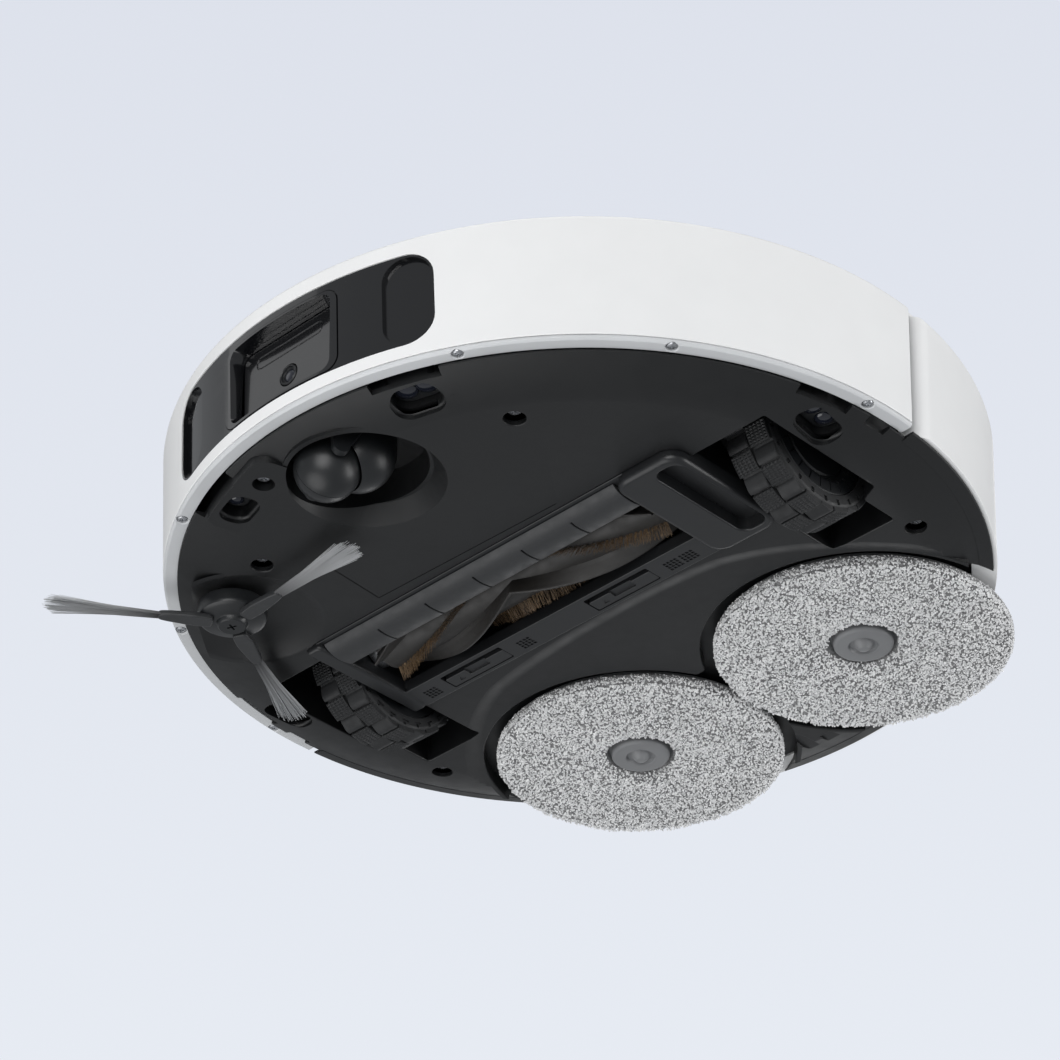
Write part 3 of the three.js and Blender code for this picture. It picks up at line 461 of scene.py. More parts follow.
def gloss(name, color, roughness=0.06):
    """Polished plastic with faint dust and hazy wipe marks."""
    material, tree = new_material(name)
    dust = two_tones(tree, noise(tree, 0.5, 2), color, scaled(color, 2.2), 0.66, 0.8)
    haze = ranged(tree, noise(tree, 14, 6, (1, 1, 2.5)), roughness, roughness + 0.07, 0.45, 0.75)
    relief = bumped(tree, noise(tree, 6, 2), 0.01, 0.4)
    dress(tree, Base_Color=dust, Roughness=haze, Normal=relief, Coat_Weight=0.6, Coat_Roughness=0.03)
    return material


def rubber(name, color, roughness=0.7, grain=0.25, scuff=1.7):
    """Soft rubber with a fine skin and paler scuffs."""
    material, tree = new_material(name)
    scuffs = two_tones(tree, noise(tree, 3, 6), color, scaled(color, scuff), 0.55, 0.8)
    haze = ranged(tree, noise(tree, 5, 4), roughness - 0.08, roughness + 0.1)
    relief = bumped(tree, noise(tree, grain, 3), 0.03)
    dress(tree, Base_Color=scuffs, Roughness=haze, Normal=relief, Sheen_Weight=0.03)
    return material


def metal(name, color, roughness, streak=(1, 1, 14)):
    """Drawn or turned metal with fine streaks."""
    material, tree = new_material(name)
    streaks = noise(tree, 1.2, 4, streak)
    tone = two_tones(tree, streaks, scaled(color, 0.85), scaled(color, 1.1))
    haze = ranged(tree, streaks, roughness - 0.06, roughness + 0.08)
    dress(tree, Base_Color=tone, Roughness=haze, Normal=bumped(tree, streaks, 0.01, 0.5), Metallic=1.0)
    return material


def fibre(name, first, second, speck=0.45, roughness=0.9, sheen=0.35):
    """Fibres or fleece, speckled from one fibre to the next."""
    material, tree = new_material(name)
    fine = two_tones(tree, noise(tree, speck, 3), first, second, 0.38, 0.62)
    broad = two_tones(tree, noise(tree, 7, 4), scaled(first, 1.15), scaled(second, 0.97), 0.3, 0.7)
    tone = blended(tree, ranged(tree, noise(tree, 2.2, 2), 0.25, 0.6), fine, broad)
    relief = bumped(tree, noise(tree, 0.35, 4), 0.12)
    dress(tree, Base_Color=tone, Roughness=roughness, Normal=relief, Sheen_Weight=sheen, Sheen_Roughness=0.5)
    return material


def bristle_tips(name, centre, reach, root, tip):
    """Nylon that is dark at the hub and pale and milky towards its tips, by distance from the hub."""
    material, tree = new_material(name)
    coords = add_node(tree, "TexCoord").outputs["Object"]
    distance = tree.nodes.new("ShaderNodeVectorMath")
    distance.operation = "DISTANCE"
    feed(distance.inputs[0], coords)
    feed(distance.inputs[1], Vector(centre) * MM)
    along = ranged(tree, distance.outputs["Value"], 0, 1, reach[0] * MM, reach[1] * MM)
    tone = two_tones(tree, along, root, tip, 0.0, 1.0)
    relief = bumped(tree, noise(tree, 0.8, 2), 0.01)
    milky = ranged(tree, along, 0.0, 0.45, 0, 1)
    dress(tree, Base_Color=tone, Roughness=0.45, Normal=relief, Transmission_Weight=milky)
    return material


WHITE = plastic("white_plastic", (0.85, 0.85, 0.845), 0.38, spread=0.012, depth=0.006, coat=0.1)
GREY_TRIM = plastic("grey_trim_plastic", (0.60, 0.61, 0.62), 0.42, spread=0.04)
CHARCOAL = plastic("charcoal_plastic", (0.0045, 0.0049, 0.0054), 0.44, grain=0.45, depth=0.02, spread=0.10)
INNER_DARK = plastic("inner_dark_plastic", (0.009, 0.0095, 0.0105), 0.5, grain=0.5, depth=0.02)
COVER_DARK = plastic("cover_plastic", (0.011, 0.0117, 0.0128), 0.38, grain=0.5, depth=0.015, spread=0.08)
SMOOTH_DARK = plastic("smooth_dark_plastic", (0.010, 0.011, 0.0122), 0.36, depth=0.004)
CASTER_NYLON = plastic("caster_nylon", (0.010, 0.011, 0.012), 0.36, depth=0.004)
GLOSS_BLACK = gloss("gloss_black_plastic", (0.004, 0.0042, 0.005), 0.12)
LENS_GLASS = gloss("lens_glass", (0.012, 0.014, 0.022), 0.03)
TREAD = rubber("tread_rubber", (0.009, 0.0096, 0.0105), 0.62)
FLAP_RUBBER = rubber("flap_rubber", (0.021, 0.022, 0.0235), 0.45, scuff=1.25)
FIN_RUBBER = rubber("fin_rubber", (0.015, 0.0135, 0.012), 0.5, scuff=1.4)
BRISTLE_BROWN = fibre("brown_bristle", (0.030, 0.017, 0.008), (0.20, 0.125, 0.06), 0.8, 0.5, 0.1)
BRISTLE_NYLON = bristle_tips(
    "side_bristle_nylon", (*SIDE_BRUSH, 5), (28, 66), (0.03, 0.03, 0.032), (0.60, 0.61, 0.62)
)
MOP_CLOTH = fibre("mop_cloth", (0.74, 0.74, 0.745), (0.97, 0.97, 0.965), 1.1)
# The pad's backing is painted dark as painted shade in the gaps between the tufts of pile. The cloth itself
# is pale.
MOP_GAP_SHADE = fibre("mop_pile_gap_shade", (0.06, 0.06, 0.062), (0.30, 0.30, 0.30), 0.9)
MOP_GREY = plastic("mop_hub_plastic", (0.20, 0.203, 0.208), 0.42, grain=0.4, depth=0.015)
STEEL = metal("steel", (0.52, 0.53, 0.55), 0.3)
CONTACT = metal("contact_metal", (0.72, 0.50, 0.24), 0.28, (1, 14, 1))
BOARD = plastic("board_lacquer", (0.015, 0.10, 0.045), 0.3, grain=1.2, depth=0.03, spread=0.2)
WRAP = plastic("battery_wrap", (0.035, 0.065, 0.13), 0.28, grain=4, depth=0.08, spread=0.08)
FILTER_PAPER = fibre("filter_paper", (0.6, 0.59, 0.55), (0.78, 0.77, 0.73), 0.3, 0.9, 0.1)


def tinted_clear():
    """Smoky transparent plastic for the bin and the tank."""
    material, tree = new_material("tinted_clear_plastic")
    tone = two_tones(tree, noise(tree, 20), (0.42, 0.5, 0.56), (0.5, 0.58, 0.63))
    haze = ranged(tree, noise(tree, 6, 5), 0.1, 0.22)
    relief = bumped(tree, noise(tree, 5, 2), 0.02, 0.5)
    dress(tree, Base_Color=tone, Roughness=haze, Normal=relief, Transmission_Weight=0.7, IOR=1.5)
    return material


CLEAR = tinted_clear()


# ---- Camera, light and stage ----
ROOM_LIGHT = 0.36  # strength of the light from all round


def look_from(position, target, roll):
    """A rotation that looks from one point at another, rolled about the view."""
    ahead = (Vector(target) - Vector(position)).normalized()
    turn = ahead.to_track_quat("-Z", "Y").to_matrix().to_4x4()
    return Matrix.Translation(Vector(position)) @ turn @ Matrix.Rotation(math.radians(roll), 4, "Z")


def either(tree, factor, first, second):
    """Mixes the shaders of two nodes."""
    mix = add_node(tree, "MixShader", Fac=factor)
    feed(mix.inputs[1], first.outputs[0])
    feed(mix.inputs[2], second.outputs[0])
    return mix.outputs[0]


def add_camera():
    """The photograph's view: from low down at the front left, fitted to the rim, the wall and the wheels."""
    data = bpy.data.cameras.new("camera")
    data.lens = 132.04
    data.sensor_width = 36
    data.clip_end = 20
    camera = add_object("camera", data)
    camera.matrix_world = look_from((0.91573, -0.98521, -0.88059), (-0.01357, -0.01564, 0.0493), -0.48)
    bpy.context.scene.camera = camera


def add_light(name, position, size, power):
    """A round soft light aimed at the middle of the robot, in metres and watts."""
    data = bpy.data.lights.new(name, "AREA")
    data.shape = "DISK"
    data.size = size
    data.energy = power
    add_object(name, data).matrix_world = look_from(position, (0, 0, 0.05), 0)


def add_stage():
    """A pale floor that is seen from above only, so that the underside is open to the camera below it."""
    mesh = bpy.data.meshes.new("floor")
    half = 4.0
    corners = [(-half, -half, 0), (half, -half, 0), (half, half, 0), (-half, half, 0)]
    mesh.from_pydata(corners, [], [(0, 1, 2, 3)])
    material, tree = new_material("floor")
    dress(tree, Base_Color=(0.80, 0.82, 0.85, 1), Roughness=0.7)
    above = add_node(tree, "Math")
    above.operation = "SUBTRACT"
    above.use_clamp = True
    feed(above.inputs[0], add_node(tree, "LightPath").outputs["Is Camera Ray"])
    feed(above.inputs[1], add_node(tree, "NewGeometry").outputs["Backfacing"])
    clear = add_node(tree, "BsdfTransparent")
    surface = either(tree, above.outputs[0], clear, tree.nodes["Principled BSDF"])
    feed(tree.nodes["Material Output"].inputs["Surface"], surface)
    mesh.materials.append(material)
    add_object("floor", mesh)
    bpy.context.scene.world = studio_world()
    bpy.context.scene.view_settings.view_transform = "Standard"


def studio_world():
    """A pale backdrop that is a little deeper higher up, over a dimmer light from all round."""
    world = bpy.data.worlds.new("studio")
    world.use_nodes = True
    tree = world.node_tree
    backdrop = tree.nodes["Background"]
    direction = add_node(tree, "TexCoord").outputs["Generated"]
    height = add_node(tree, "SeparateXYZ", Vector=direction).outputs["Z"]
    sky = two_tones(tree, height, (0.80, 0.835, 0.896), (0.727, 0.758, 0.835), 0.44, 0.68)
    feed(backdrop.inputs["Color"], sky)
    room = add_node(tree, "Background", Color=(0.93, 0.96, 1.0, 1), Strength=ROOM_LIGHT)
    seen = add_node(tree, "LightPath").outputs["Is Camera Ray"]
    feed(tree.nodes["World Output"].inputs["Surface"], either(tree, seen, room, backdrop))
    return world


def add_studio():
    add_light("key", (0.9, -1.6, -0.2), 1.4, 18)
    add_light("under_fill", (-0.6, -0.8, -1.4), 1.8, 13.5)
    add_light("side", (1.4, 1.2, -0.1), 1.2, 17)
    add_light("window_sheen", (-1.3, -1.3, 1.0), 1.2, 1.4)
    add_light("step_glint", (-1.2, 1.6, -0.26), 0.5, 1.0)
    add_light("overhead", (0.3, -0.4, 1.8), 1.6, 9)
    add_light("behind", (-1.2, 1.5, 0.9), 1.4, 6)


add_camera()
add_stage()
add_studio()


# ---- The round wall ----
def wall_r(z):
    return WALL_R + WALL_FLARE * (z - WALL_LOW) / (WALL_HIGH - WALL_LOW)


def wall_crown():
    """The rounded upper edge of the wall's outer face."""
    r = 2.2
    return arc(wall_r(WALL_HIGH) - r, WALL_HIGH - r, r, 0, 90, 8)


def faced(obj, axis):
    """Stands a prism built along Z so that it runs along Y or X, with its outline's v up."""
    turn = Matrix.Rotation(math.radians(90), 4, "X")
    if axis == X:
        turn = Matrix.Rotation(math.radians(90), 4, "Z") @ turn
    obj.data.transform(turn)
    return obj


def along_y(outline, low, high):
    return faced(prism(outline, -high, -low), Y)


def along_x(outline, low, high):
    return faced(prism(outline, low, high), X)


def wall_profile(low, flange=167.3, lip=166.0):
    """The section of the wall: a flange at its foot and a lip at its softly rounded top."""
    outer = [(wall_r(low), low), (wall_r(WALL_HIGH), WALL_HIGH)]
    top, foot = WALL_HIGH - 2, low + 2
    inner = [(lip, WALL_HIGH), (lip, top), (wall_r(top) - SKIN, top), (wall_r(foot) - SKIN, foot)]
    rounded = soften(outer + inner + [(flange, foot), (flange, low)], 0.5, 3)
    crown = wall_crown()
    keep = [p for p in rounded if not (p[0] > crown[-1][0] and p[1] > crown[0][1])]
    first_inner = next(i for i, p in enumerate(keep) if p[1] > WALL_HIGH - 0.6)
    return keep[:first_inner] + crown + keep[first_inner:]


def body_fill(inset, low=WALL_LOW - 8, high=WALL_HIGH + 8):
    """The solid inside the wall's outer face, less an inset."""
    return lathe([(0, low), (wall_r(low) - inset, low), (wall_r(high) - inset, high), (0, high)])


def behind(y):
    return box_solid((-200, 200), (y, 200), (-10, 110))


def ahead_of(y):
    return box_solid((-200, 200), (-200, y), (-10, 110))


# ---- Bumper ----
def screw_place(angle, r=SCREW_R):
    a = math.radians(angle)
    return r * math.sin(a), -r * math.cos(a)


def bumper_shell():
    low, high = WINDOW_LOW, WINDOW_HIGH
    shell = lathe(wall_profile(BUMPER_LOW))
    window = along_y(rounded_rect((low.x - GAP, high.x + GAP), (low.z - GAP, high.z + GAP), 12), -190, -140)
    cut(shell, behind(BUMPER_END), window)
    return finished(shell, "bumper_shell_skin", "bumper", ["bumper_shell"], WHITE, bevel=0.45)


def bumper_bezel():
    low, high = edges("bumper_bezel")
    profile = [(RIM_R, low.z), (172.0, low.z), (172.9, low.z + 0.9), (172.9, high.z), (RIM_R, high.z)]
    ring = lathe(soften(profile, 0.3, 3))
    sink = [(0, 15), (3.0, 15), (3.0, low.z), (2.5, low.z + 0.4), (2.5, low.z + 1.2), (0, low.z + 1.2)]
    holes = [rod(1.35, (15, 25), screw_place(a), sides=24) for a in SCREW_ANGLES]
    holes += [lathe(sink, 32, at=(*screw_place(a), 0)) for a in SCREW_ANGLES]
    cut(ring, behind(BUMPER_END), *holes)
    finished(ring, "bezel_ring", "bumper", ["bumper_bezel"], GREY_TRIM, bevel=0.2)


def bezel_screws():
    """Pan heads with a cross recess, facing down."""
    profile = [(0, -0.95), (1.2, -0.9), (1.9, -0.6), (2.2, -0.1), (2.2, 0), (0.95, 0), (0.9, 3.4), (0, 3.6)]
    for i, angle in enumerate(SCREW_ANGLES):
        head = lathe(profile, 32)
        cut(head, *crossed_bars(1.25, 0.28, (-2, -0.45)))
        moved(head, (*screw_place(angle), 20.1), turn=angle + 20 * i)
        node = f"bezel_screw_{i + 1}"
        finished(head, f"bezel_screw_head_{i + 1}", "bumper", [node], STEEL, bevel=0.08)


EYE = ((52.0, 71.7), (28.4, 68.6))
PANE = ((-26.5, 26.5), (30.0, 64.3))
LENS_Z = middle_of("camera_lens").z


def bumper_window():
    """The dark band across the front, with a bevelled camera frame and a shallow glass at each end."""
    low, high = WINDOW_LOW, WINDOW_HIGH
    band_r = [wall_r(z) - 0.4 for z in (10, 90)]
    profile = [(band_r[0] - 2.5, 10), (band_r[0], 10), (band_r[1], 90), (band_r[1] - 2.5, 90)]
    band = lathe(profile)
    frame_shape = rounded_rect((-32, 32), (28, 66.4), 6)
    groove = along_y(grown(frame_shape, 0.45), -190, -160)
    cut(groove, body_fill(1.3))
    cut(band, groove)
    join(band, common(along_y(frame_shape, -180, -163.6), body_fill(0.1)))
    common(band, along_y(rounded_rect((low.x, high.x), (low.z, high.z), 11.7), -190, -140))
    for outline in (rounded_rect(*EYE, 9.6), mirrored(rounded_rect(*EYE, 9.6))):
        hollow = along_y(outline, -190, -150)
        cut(hollow, body_fill(2.4))
        cut(band, hollow)
    levels = []
    middle = sum(PANE[1]) / 2
    for k in range(7):
        t = k / 6
        spread = 1 + 0.2 * t**1.4
        shape = [(u * spread, middle + (v - middle) * (1 + 0.08 * t)) for u, v in rounded_rect(*PANE, 4.5)]
        levels.append((shape, 166.9 + 9 * t))
    funnel = faced(loft(levels), Y)
    cut(band, funnel, along_y(rounded_rect(*PANE, 4.5), -180, -150))
    return finished(band, "window_band", "bumper", ["bumper_window"], GLOSS_BLACK, bevel=0.3)


def camera_pane():
    low, high = edges("camera_pane")
    pane = along_y(rounded_rect((low.x, high.x), (low.z, high.z), 4.2), low.y, high.y)
    strip = rounded_rect((-19, 19), (54.2, 60.2), 2.6)
    groove = along_y(strip, -170, low.y + 0.35)
    cut(groove, along_y(grown(strip, -0.55), -171, low.y + 1))
    cut(pane, faced(lathe([(0, 155), (5, 155), (5, 180), (0, 180)], 64, at=(0, LENS_Z, 0)), Y), groove)
    finished(pane, "camera_glass", "bumper", ["camera_pane"], GLOSS_BLACK, bevel=0.15)


def camera_lens():
    """A stepped barrel and its domed front glass."""
    centre, back = middle_of("camera_lens"), edges("camera_lens")[1].y
    at = (centre.x, centre.z, -back)
    tube = [(0, 0), (4.6, 0), (4.6, 5.3), (4.3, 5.6), (3.9, 5.6)]
    bore = [(3.6, 4.7), (3.1, 4.7), (2.9, 4.2), (0, 4.2)]
    barrel = faced(lathe(tube + bore, 64, at=at), Y)
    finished(barrel, "lens_barrel", "bumper", ["camera_lens"], SMOOTH_DARK, bevel=0.08)
    r, rim, rise = 2.8, 4.1, 1.1
    bow = [(r * math.cos(a), rim + rise * math.sin(a)) for a in [math.radians(d) for d in range(10, 81, 10)]]
    glass = faced(lathe([(0, 3.6), (r, 3.6), (r, rim)] + bow + [(0, rim + rise)], 64, at=at), Y)
    finished(glass, "lens_glass_dome", "bumper", [], LENS_GLASS)


def coil(name, node, radius, wire, start, direction, length, turns=5):
    """A compression spring of round wire with closed ends, from start along a direction."""
    steps, sides = int(turns * 28), 8
    across = direction.orthogonal().normalized()
    other = direction.cross(across)
    points = []
    for i in range(steps + 1):
        t = i / steps
        a = 2 * math.pi * turns * t
        out = across * math.cos(a) + other * math.sin(a)
        eased = min(max((t * turns - 0.6) / (turns - 1.2), 0), 1)
        centre = start + out * radius + direction * (wire + (length - 2 * wire) * eased)
        for k in range(sides):
            b = 2 * math.pi * k / sides
            points.append(centre + wire * (out * math.cos(b) + direction * math.sin(b)))
    faces = tube_faces(steps + 1, sides)
    faces += [tuple(reversed(range(sides))), tuple(range(steps * sides, (steps + 1) * sides))]
    return finished(mesh_piece(name, points, faces), name, "chassis", [node], STEEL)


def springs():
    """The bumper's springs press forwards and the wheels' springs press down."""
    for side in ("left", "right"):
        node = f"bumper_spring_{side}"
        (low, high), middle = edges(node), middle_of(node)
        start = Vector((middle.x, high.y, middle.z))
        spring = coil(f"bumper_coil_{side}", node, 3.0, 0.45, start, Vector((0, -1, 0)), high.y - low.y)
        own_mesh(spring)
        node = f"wheel_spring_{side}"
        (low, high), middle = edges(node), middle_of(node)
        start = Vector((middle.x, middle.y, high.z))
        spring = coil(f"wheel_coil_{side}", node, 2.2, 0.4, start, Vector((0, 0, -1)), high.z - low.z)
        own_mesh(spring)


# ---- Rear shell, top and turret ----
def rear_shell():
    """The rear wall, whose front edges are rounded columns, with a pocket for each charging contact."""
    core_r, start, r = 162.2, 20.0, 8.0
    shell = lathe(wall_profile(WALL_LOW, flange=core_r, lip=core_r + 0.3))
    cut(shell, ahead_of(start))
    face = [(wall_r(WALL_LOW) - 0.4, WALL_LOW), (wall_r(WALL_LOW + 0.4), WALL_LOW + 0.4)] + wall_crown()
    foot = Vector((0, 0, WALL_LOW * MM))
    for side in (-1, 1):
        column = lathe([(0, WALL_LOW), (r, WALL_LOW), (r, WALL_HIGH), (0, WALL_HIGH)], 64)
        lean = Matrix.Shear("XY", 4, (side * WALL_FLARE / (WALL_HIGH - WALL_LOW), 0))
        column.data.transform(Matrix.Translation(foot) @ lean @ Matrix.Translation(-foot))
        moved(column, (side * (WALL_R - r - 1.1), start, 0))
        cut(column, lathe([(0, 0), (core_r, 0), (core_r, 100), (0, 100)]))
        common(column, lathe([(0, WALL_LOW)] + face + [(0, WALL_HIGH)]))
        join(shell, column)
    cut(shell, *[contact_pocket(side) for side in ("left", "right")])
    finished(shell, "rear_shell_skin", "chassis", ["rear_shell"], WHITE, bevel=0.4)


def contact_pocket(side):
    """The cutter for a charging contact's pocket, square to the wall."""
    middle = middle_of(f"charging_contact_{side}")
    bearing = math.atan2(middle.x, middle.y)
    pocket = faced(prism(rounded_rect((-8.3, 8.3), (-3.8, 3.8), 1.2), -1.5, 6), Y)
    r = WALL_R * 0.9918
    at = (r * math.sin(bearing), r * math.cos(bearing), middle.z)
    return moved(pocket, at, turn=-math.degrees(bearing))


ISLAND = ((-28.0, 28.0), (-147.0, -129.0))
TURRET = middle_of("lidar_turret_cap")


def disc_profile(r, low, high, fillet, foot=0.3):
    """A flat disc with a rounded upper edge, from its underside up."""
    edge = arc(r - fillet, high - fillet, fillet, 0, 90, 6)
    return [(0, low), (r - foot, low), (r, low + foot)] + edge + [(0, high)]


def top_cover():
    low, high = edges("top_cover")
    plate = lathe(disc_profile(162, low.z, 77.2, 0.6))
    island = slab(lambda g: rounded_rect(*ISLAND, 8.9, g), 76.8, high.z, foot=0.1, head=0.8)
    join(plate, island)
    cut(plate, prism(rounded_rect((-80, 80), (-54, 22), 8), 70, 80))
    for x in (-12, 12):
        cut(plate, rod(6.3, (75.9, 90), (x, -138), sides=64))
    return finished(plate, "top_cover_plate", "chassis", ["top_cover"], WHITE, bevel=0.3)


def lid():
    low, high = edges("lid")
    plate = lathe(disc_profile(171.4, 78.3, high.z, 1.6))
    feet = [prism(sector(146, 152, a - 4, a + 4, 6), low.z, 78.6) for a in (30, 90, 150, 210, 330)]
    join(plate, *feet)
    cut(plate, rod(48, (70, 90), (TURRET.x, TURRET.y), sides=128))
    cut(plate, prism(rounded_rect(*ISLAND, 9, 0.8), 70, 90))
    finished(plate, "lid_plate", "lid_panel", ["lid"], WHITE, bevel=0.35)


def buttons():
    for use, x in (("power", -12), ("home", 12)):
        node = f"{use}_button"
        low, high = edges(node)
        top = high.z - low.z
        side = [(0, 0), (6, 0), (6, top - 0.9), (5.75, top - 0.3), (5.3, top)]
        dish = [(4.4, top - 0.1), (2.5, top - 0.32), (0, top - 0.4)]
        cap = lathe(side + dish, 96, at=(x, -138, low.z))
        finished(cap, f"{use}_button_cap", f"{use}_key", [node], GREY_TRIM, bevel=0.1)


def turret():
    """The housing on three posts, and the scanner inside with its two eyes."""
    low, high = edges("lidar_turret_cap")
    at = (TURRET.x, TURRET.y, 0)
    base = lathe([(32, low.z), (44.7, low.z), (45, low.z + 0.3), (45, 83.8), (44.3, 84.5), (32, 84.5)], 128)
    crown = lathe(disc_profile(45, 93, high.z, 2.4), 128)
    posts = [prism(sector(39, 43.5, a - 9, a + 9), 84, 93.5) for a in (90, 215, 325)]
    join(base, *posts, crown)
    moved(base, at)
    finished(base, "turret_housing", "chassis", ["lidar_turret_cap"], WHITE, bevel=0.3)
    low, high = edges("lidar_rotor")
    eye_z = low.z + 8.2
    head = lathe(disc_profile(29, low.z, high.z, 0.8), 128)
    cut(head, box_solid((-30, 30), (-40, -23), (low.z + 3, 100)))
    for x, r in ((-9, 4), (9, 5)):
        cut(head, faced(lathe([(0, 18), (r, 18), (r, 40), (0, 40)], 48, at=(x, eye_z, 0)), Y))
    moved(head, at)
    finished(head, "lidar_head_drum", "lidar_head", ["lidar_rotor"], GLOSS_BLACK, bevel=0.2)
    for side, x, r in (("right", -9, 3.9), ("left", 9, 4.9)):
        turns = [math.radians(d) for d in range(0, 90, 15)]
        bow = [(r * math.cos(a), 19 + 0.25 * r * math.sin(a)) for a in turns]
        eye = faced(lathe([(0, 17.6), (r, 17.6)] + bow + [(0, 19 + 0.25 * r)], 48, at=(x, eye_z, 0)), Y)
        finished(moved(eye, at), f"lidar_eye_{side}", "lidar_head", [], LENS_GLASS)


# ---- Chassis ----
STEP_FACE = 13.1  # the underside behind the mop step
MOP_WELL_R = 69.0
BAY = ((-98.0, 98.0), (-44.0, 0.0))
COVER = ((-107.0, 104.0), (-57.0, 8.0))
SCREW_HOLES = ((72, -113), (-72, -113), (135.5, 54), (-135.5, 54), (-30, -151))
CLIFFS = {
    "cliff_sensor_front_left": (10, 7, 16),
    "cliff_sensor_front_right": (8, 5.5, -17),
    "cliff_sensor_left": (6.3, 10, 8),
    "cliff_sensor_right": (6.3, 10, -8),
}  # half length, half width and angle


def bezier(points, steps):
    """Points on a chain of cubic curves. points holds a start and then three points for each curve."""
    start, out = Vector(points[0]), [tuple(points[0])]
    for i in range(1, len(points), 3):
        a, b, end = (Vector(p) for p in points[i : i + 3])
        for k in range(1, steps + 1):
            t = k / steps
            s = 1 - t
            out.append(tuple(start * s**3 + a * 3 * s * s * t + b * 3 * s * t * t + end * t**3))
        start = end
    return out


def mop_step():
    """Cuts the raised rear part of the underside, whose edge is a soft S."""
    right = [(-150, 100), (-120, 52), (-96, 32), (-70, 22.5), (-30, 13), (40, 12), (62, 17.5)]
    edge = bezier(right + [(92, 26), (118, 50), (150, 100)], 28)
    outline = anticlockwise(edge + [(170, 130), (120, 200), (-120, 200), (-170, 130)])
    levels = [(grown(outline, 4.5), PLATE - 5)]
    for k in range(13):
        t = k / 12
        ease = t * t * (3 - 2 * t)
        levels.append((grown(outline, 4.5 - 8 * t), PLATE - 0.02 + (STEP_FACE - PLATE + 0.02) * ease))
    return loft(levels)


def signed_area(points):
    return sum(a[0] * b[1] - b[0] * a[1] for a, b in zip(points, points[1:] + points[:1])) / 2


def sector(inner, outer, start, end, steps=8):
    return arc(0, 0, outer, start, end, steps) + arc(0, 0, inner, start, end, steps)[::-1]


def pan():
    """The underside with its upswept edge, and the frame wall behind the bumper."""
    sweep = [(142 + 25 * t, PLATE + 5.6 * t**1.7) for t in [k / 12 for k in range(13)]]
    rim = arc(RIM_R - 0.4, 18.4, 0.4, 0, 90, 3)
    wall = [(FRAME_R, 18.8), (FRAME_R, 74.4), (FRAME_R - SKIN, 74.4), (FRAME_R - SKIN, 17.6)]
    return lathe([(0, PLATE)] + sweep + rim + wall + [(149, 14.5), (0, 14.5)])


def well_outline(side, grow=0.0):
    """The wheel's opening, which narrows at its outer rear corner."""
    corners = [(101, -46.5), (142, -46.5), (142, 20), (133, 24), (133, 43), (101, 43)]
    points = soften(grown_corners(corners, grow), 1.6, 3)
    return points if side > 0 else mirrored(points)


def grown_corners(corners, distance):
    """A polygon moved outwards, with its sides kept parallel."""
    out = []
    count = len(corners)
    for i in range(count):
        back, here, ahead = (Vector(corners[(i + k) % count]) for k in (-1, 0, 1))
        first, second = (here - back).normalized(), (ahead - here).normalized()
        n1, n2 = Vector((first.y, -first.x)), Vector((second.y, -second.x))
        out.append(tuple(here + (n1 + n2) * distance / (1 + n1.dot(n2))))
    return out


def cliff_shape(node, shrink=0.0):
    centre = middle_of(node)
    half_long, half_wide, angle = CLIFFS[node]
    corner = min(half_long, half_wide) * 0.8
    rect = rect_shape((-half_long, half_long), (-half_wide, half_wide), corner, -shrink)
    return lambda grow: turned_outline(rect(grow), angle, (centre.x, centre.y))


def sloped_lip(x, y):
    """The sloping lip on the rear side of the caster's pocket, with crisp edges."""
    return lathe([(0, 5), (32.0, 5), (32.0, PLATE), (26.5, 19.5), (0, 19.5)], 128, at=(x, y, 0))


def dish_profile(grow=0.0):
    """The shallow dish for the side brush, which flattens towards its middle."""
    sides = [(33.5 + grow, 0), (33.5 + grow, PLATE - 0.02)]
    for k in range(1, 13):
        t = k / 12
        sides.append((33.5 + grow - 17 * t, PLATE + (4.5 + grow) * math.sin(t * math.pi / 2)))
    return [(0, 0)] + sides + [(0, 16.5 + grow)]


def one_side(side):
    """One side's walls and hollows, for its wheel, mop, swinging arm and bumper spring."""
    well = lambda grow: well_outline(side, grow)
    mop = disc_shape((side * MOP_X, MOP_Y), MOP_WELL_R, 160)
    post_y = (edges("bumper_spring_left")[1].y + GAP, -134)
    walls = [
        prism(well(2), 13, 74.4),
        common(prism(mop(2), 13, 22.5), prism(circle(0, 0, FRAME_R - 0.5, ROUND), 0, 60)),
        box_solid((side * 60 - 5, side * 60 + 5), post_y, (13.5, 52)),
    ]
    hollows = [
        pit(well, PLATE, 100, lip=0.6),
        pit(mop, STEP_FACE, 20, lip=0.7),
        rod(10, (0, 40), (side * MOP_X, MOP_Y), sides=64),
        rod(4.3, (88, 103) if side > 0 else (-103, -88), (-36, 52), X),
        rod(4.5, (-165, -145), (side * 60, 41), Y),
    ]
    return walls, hollows


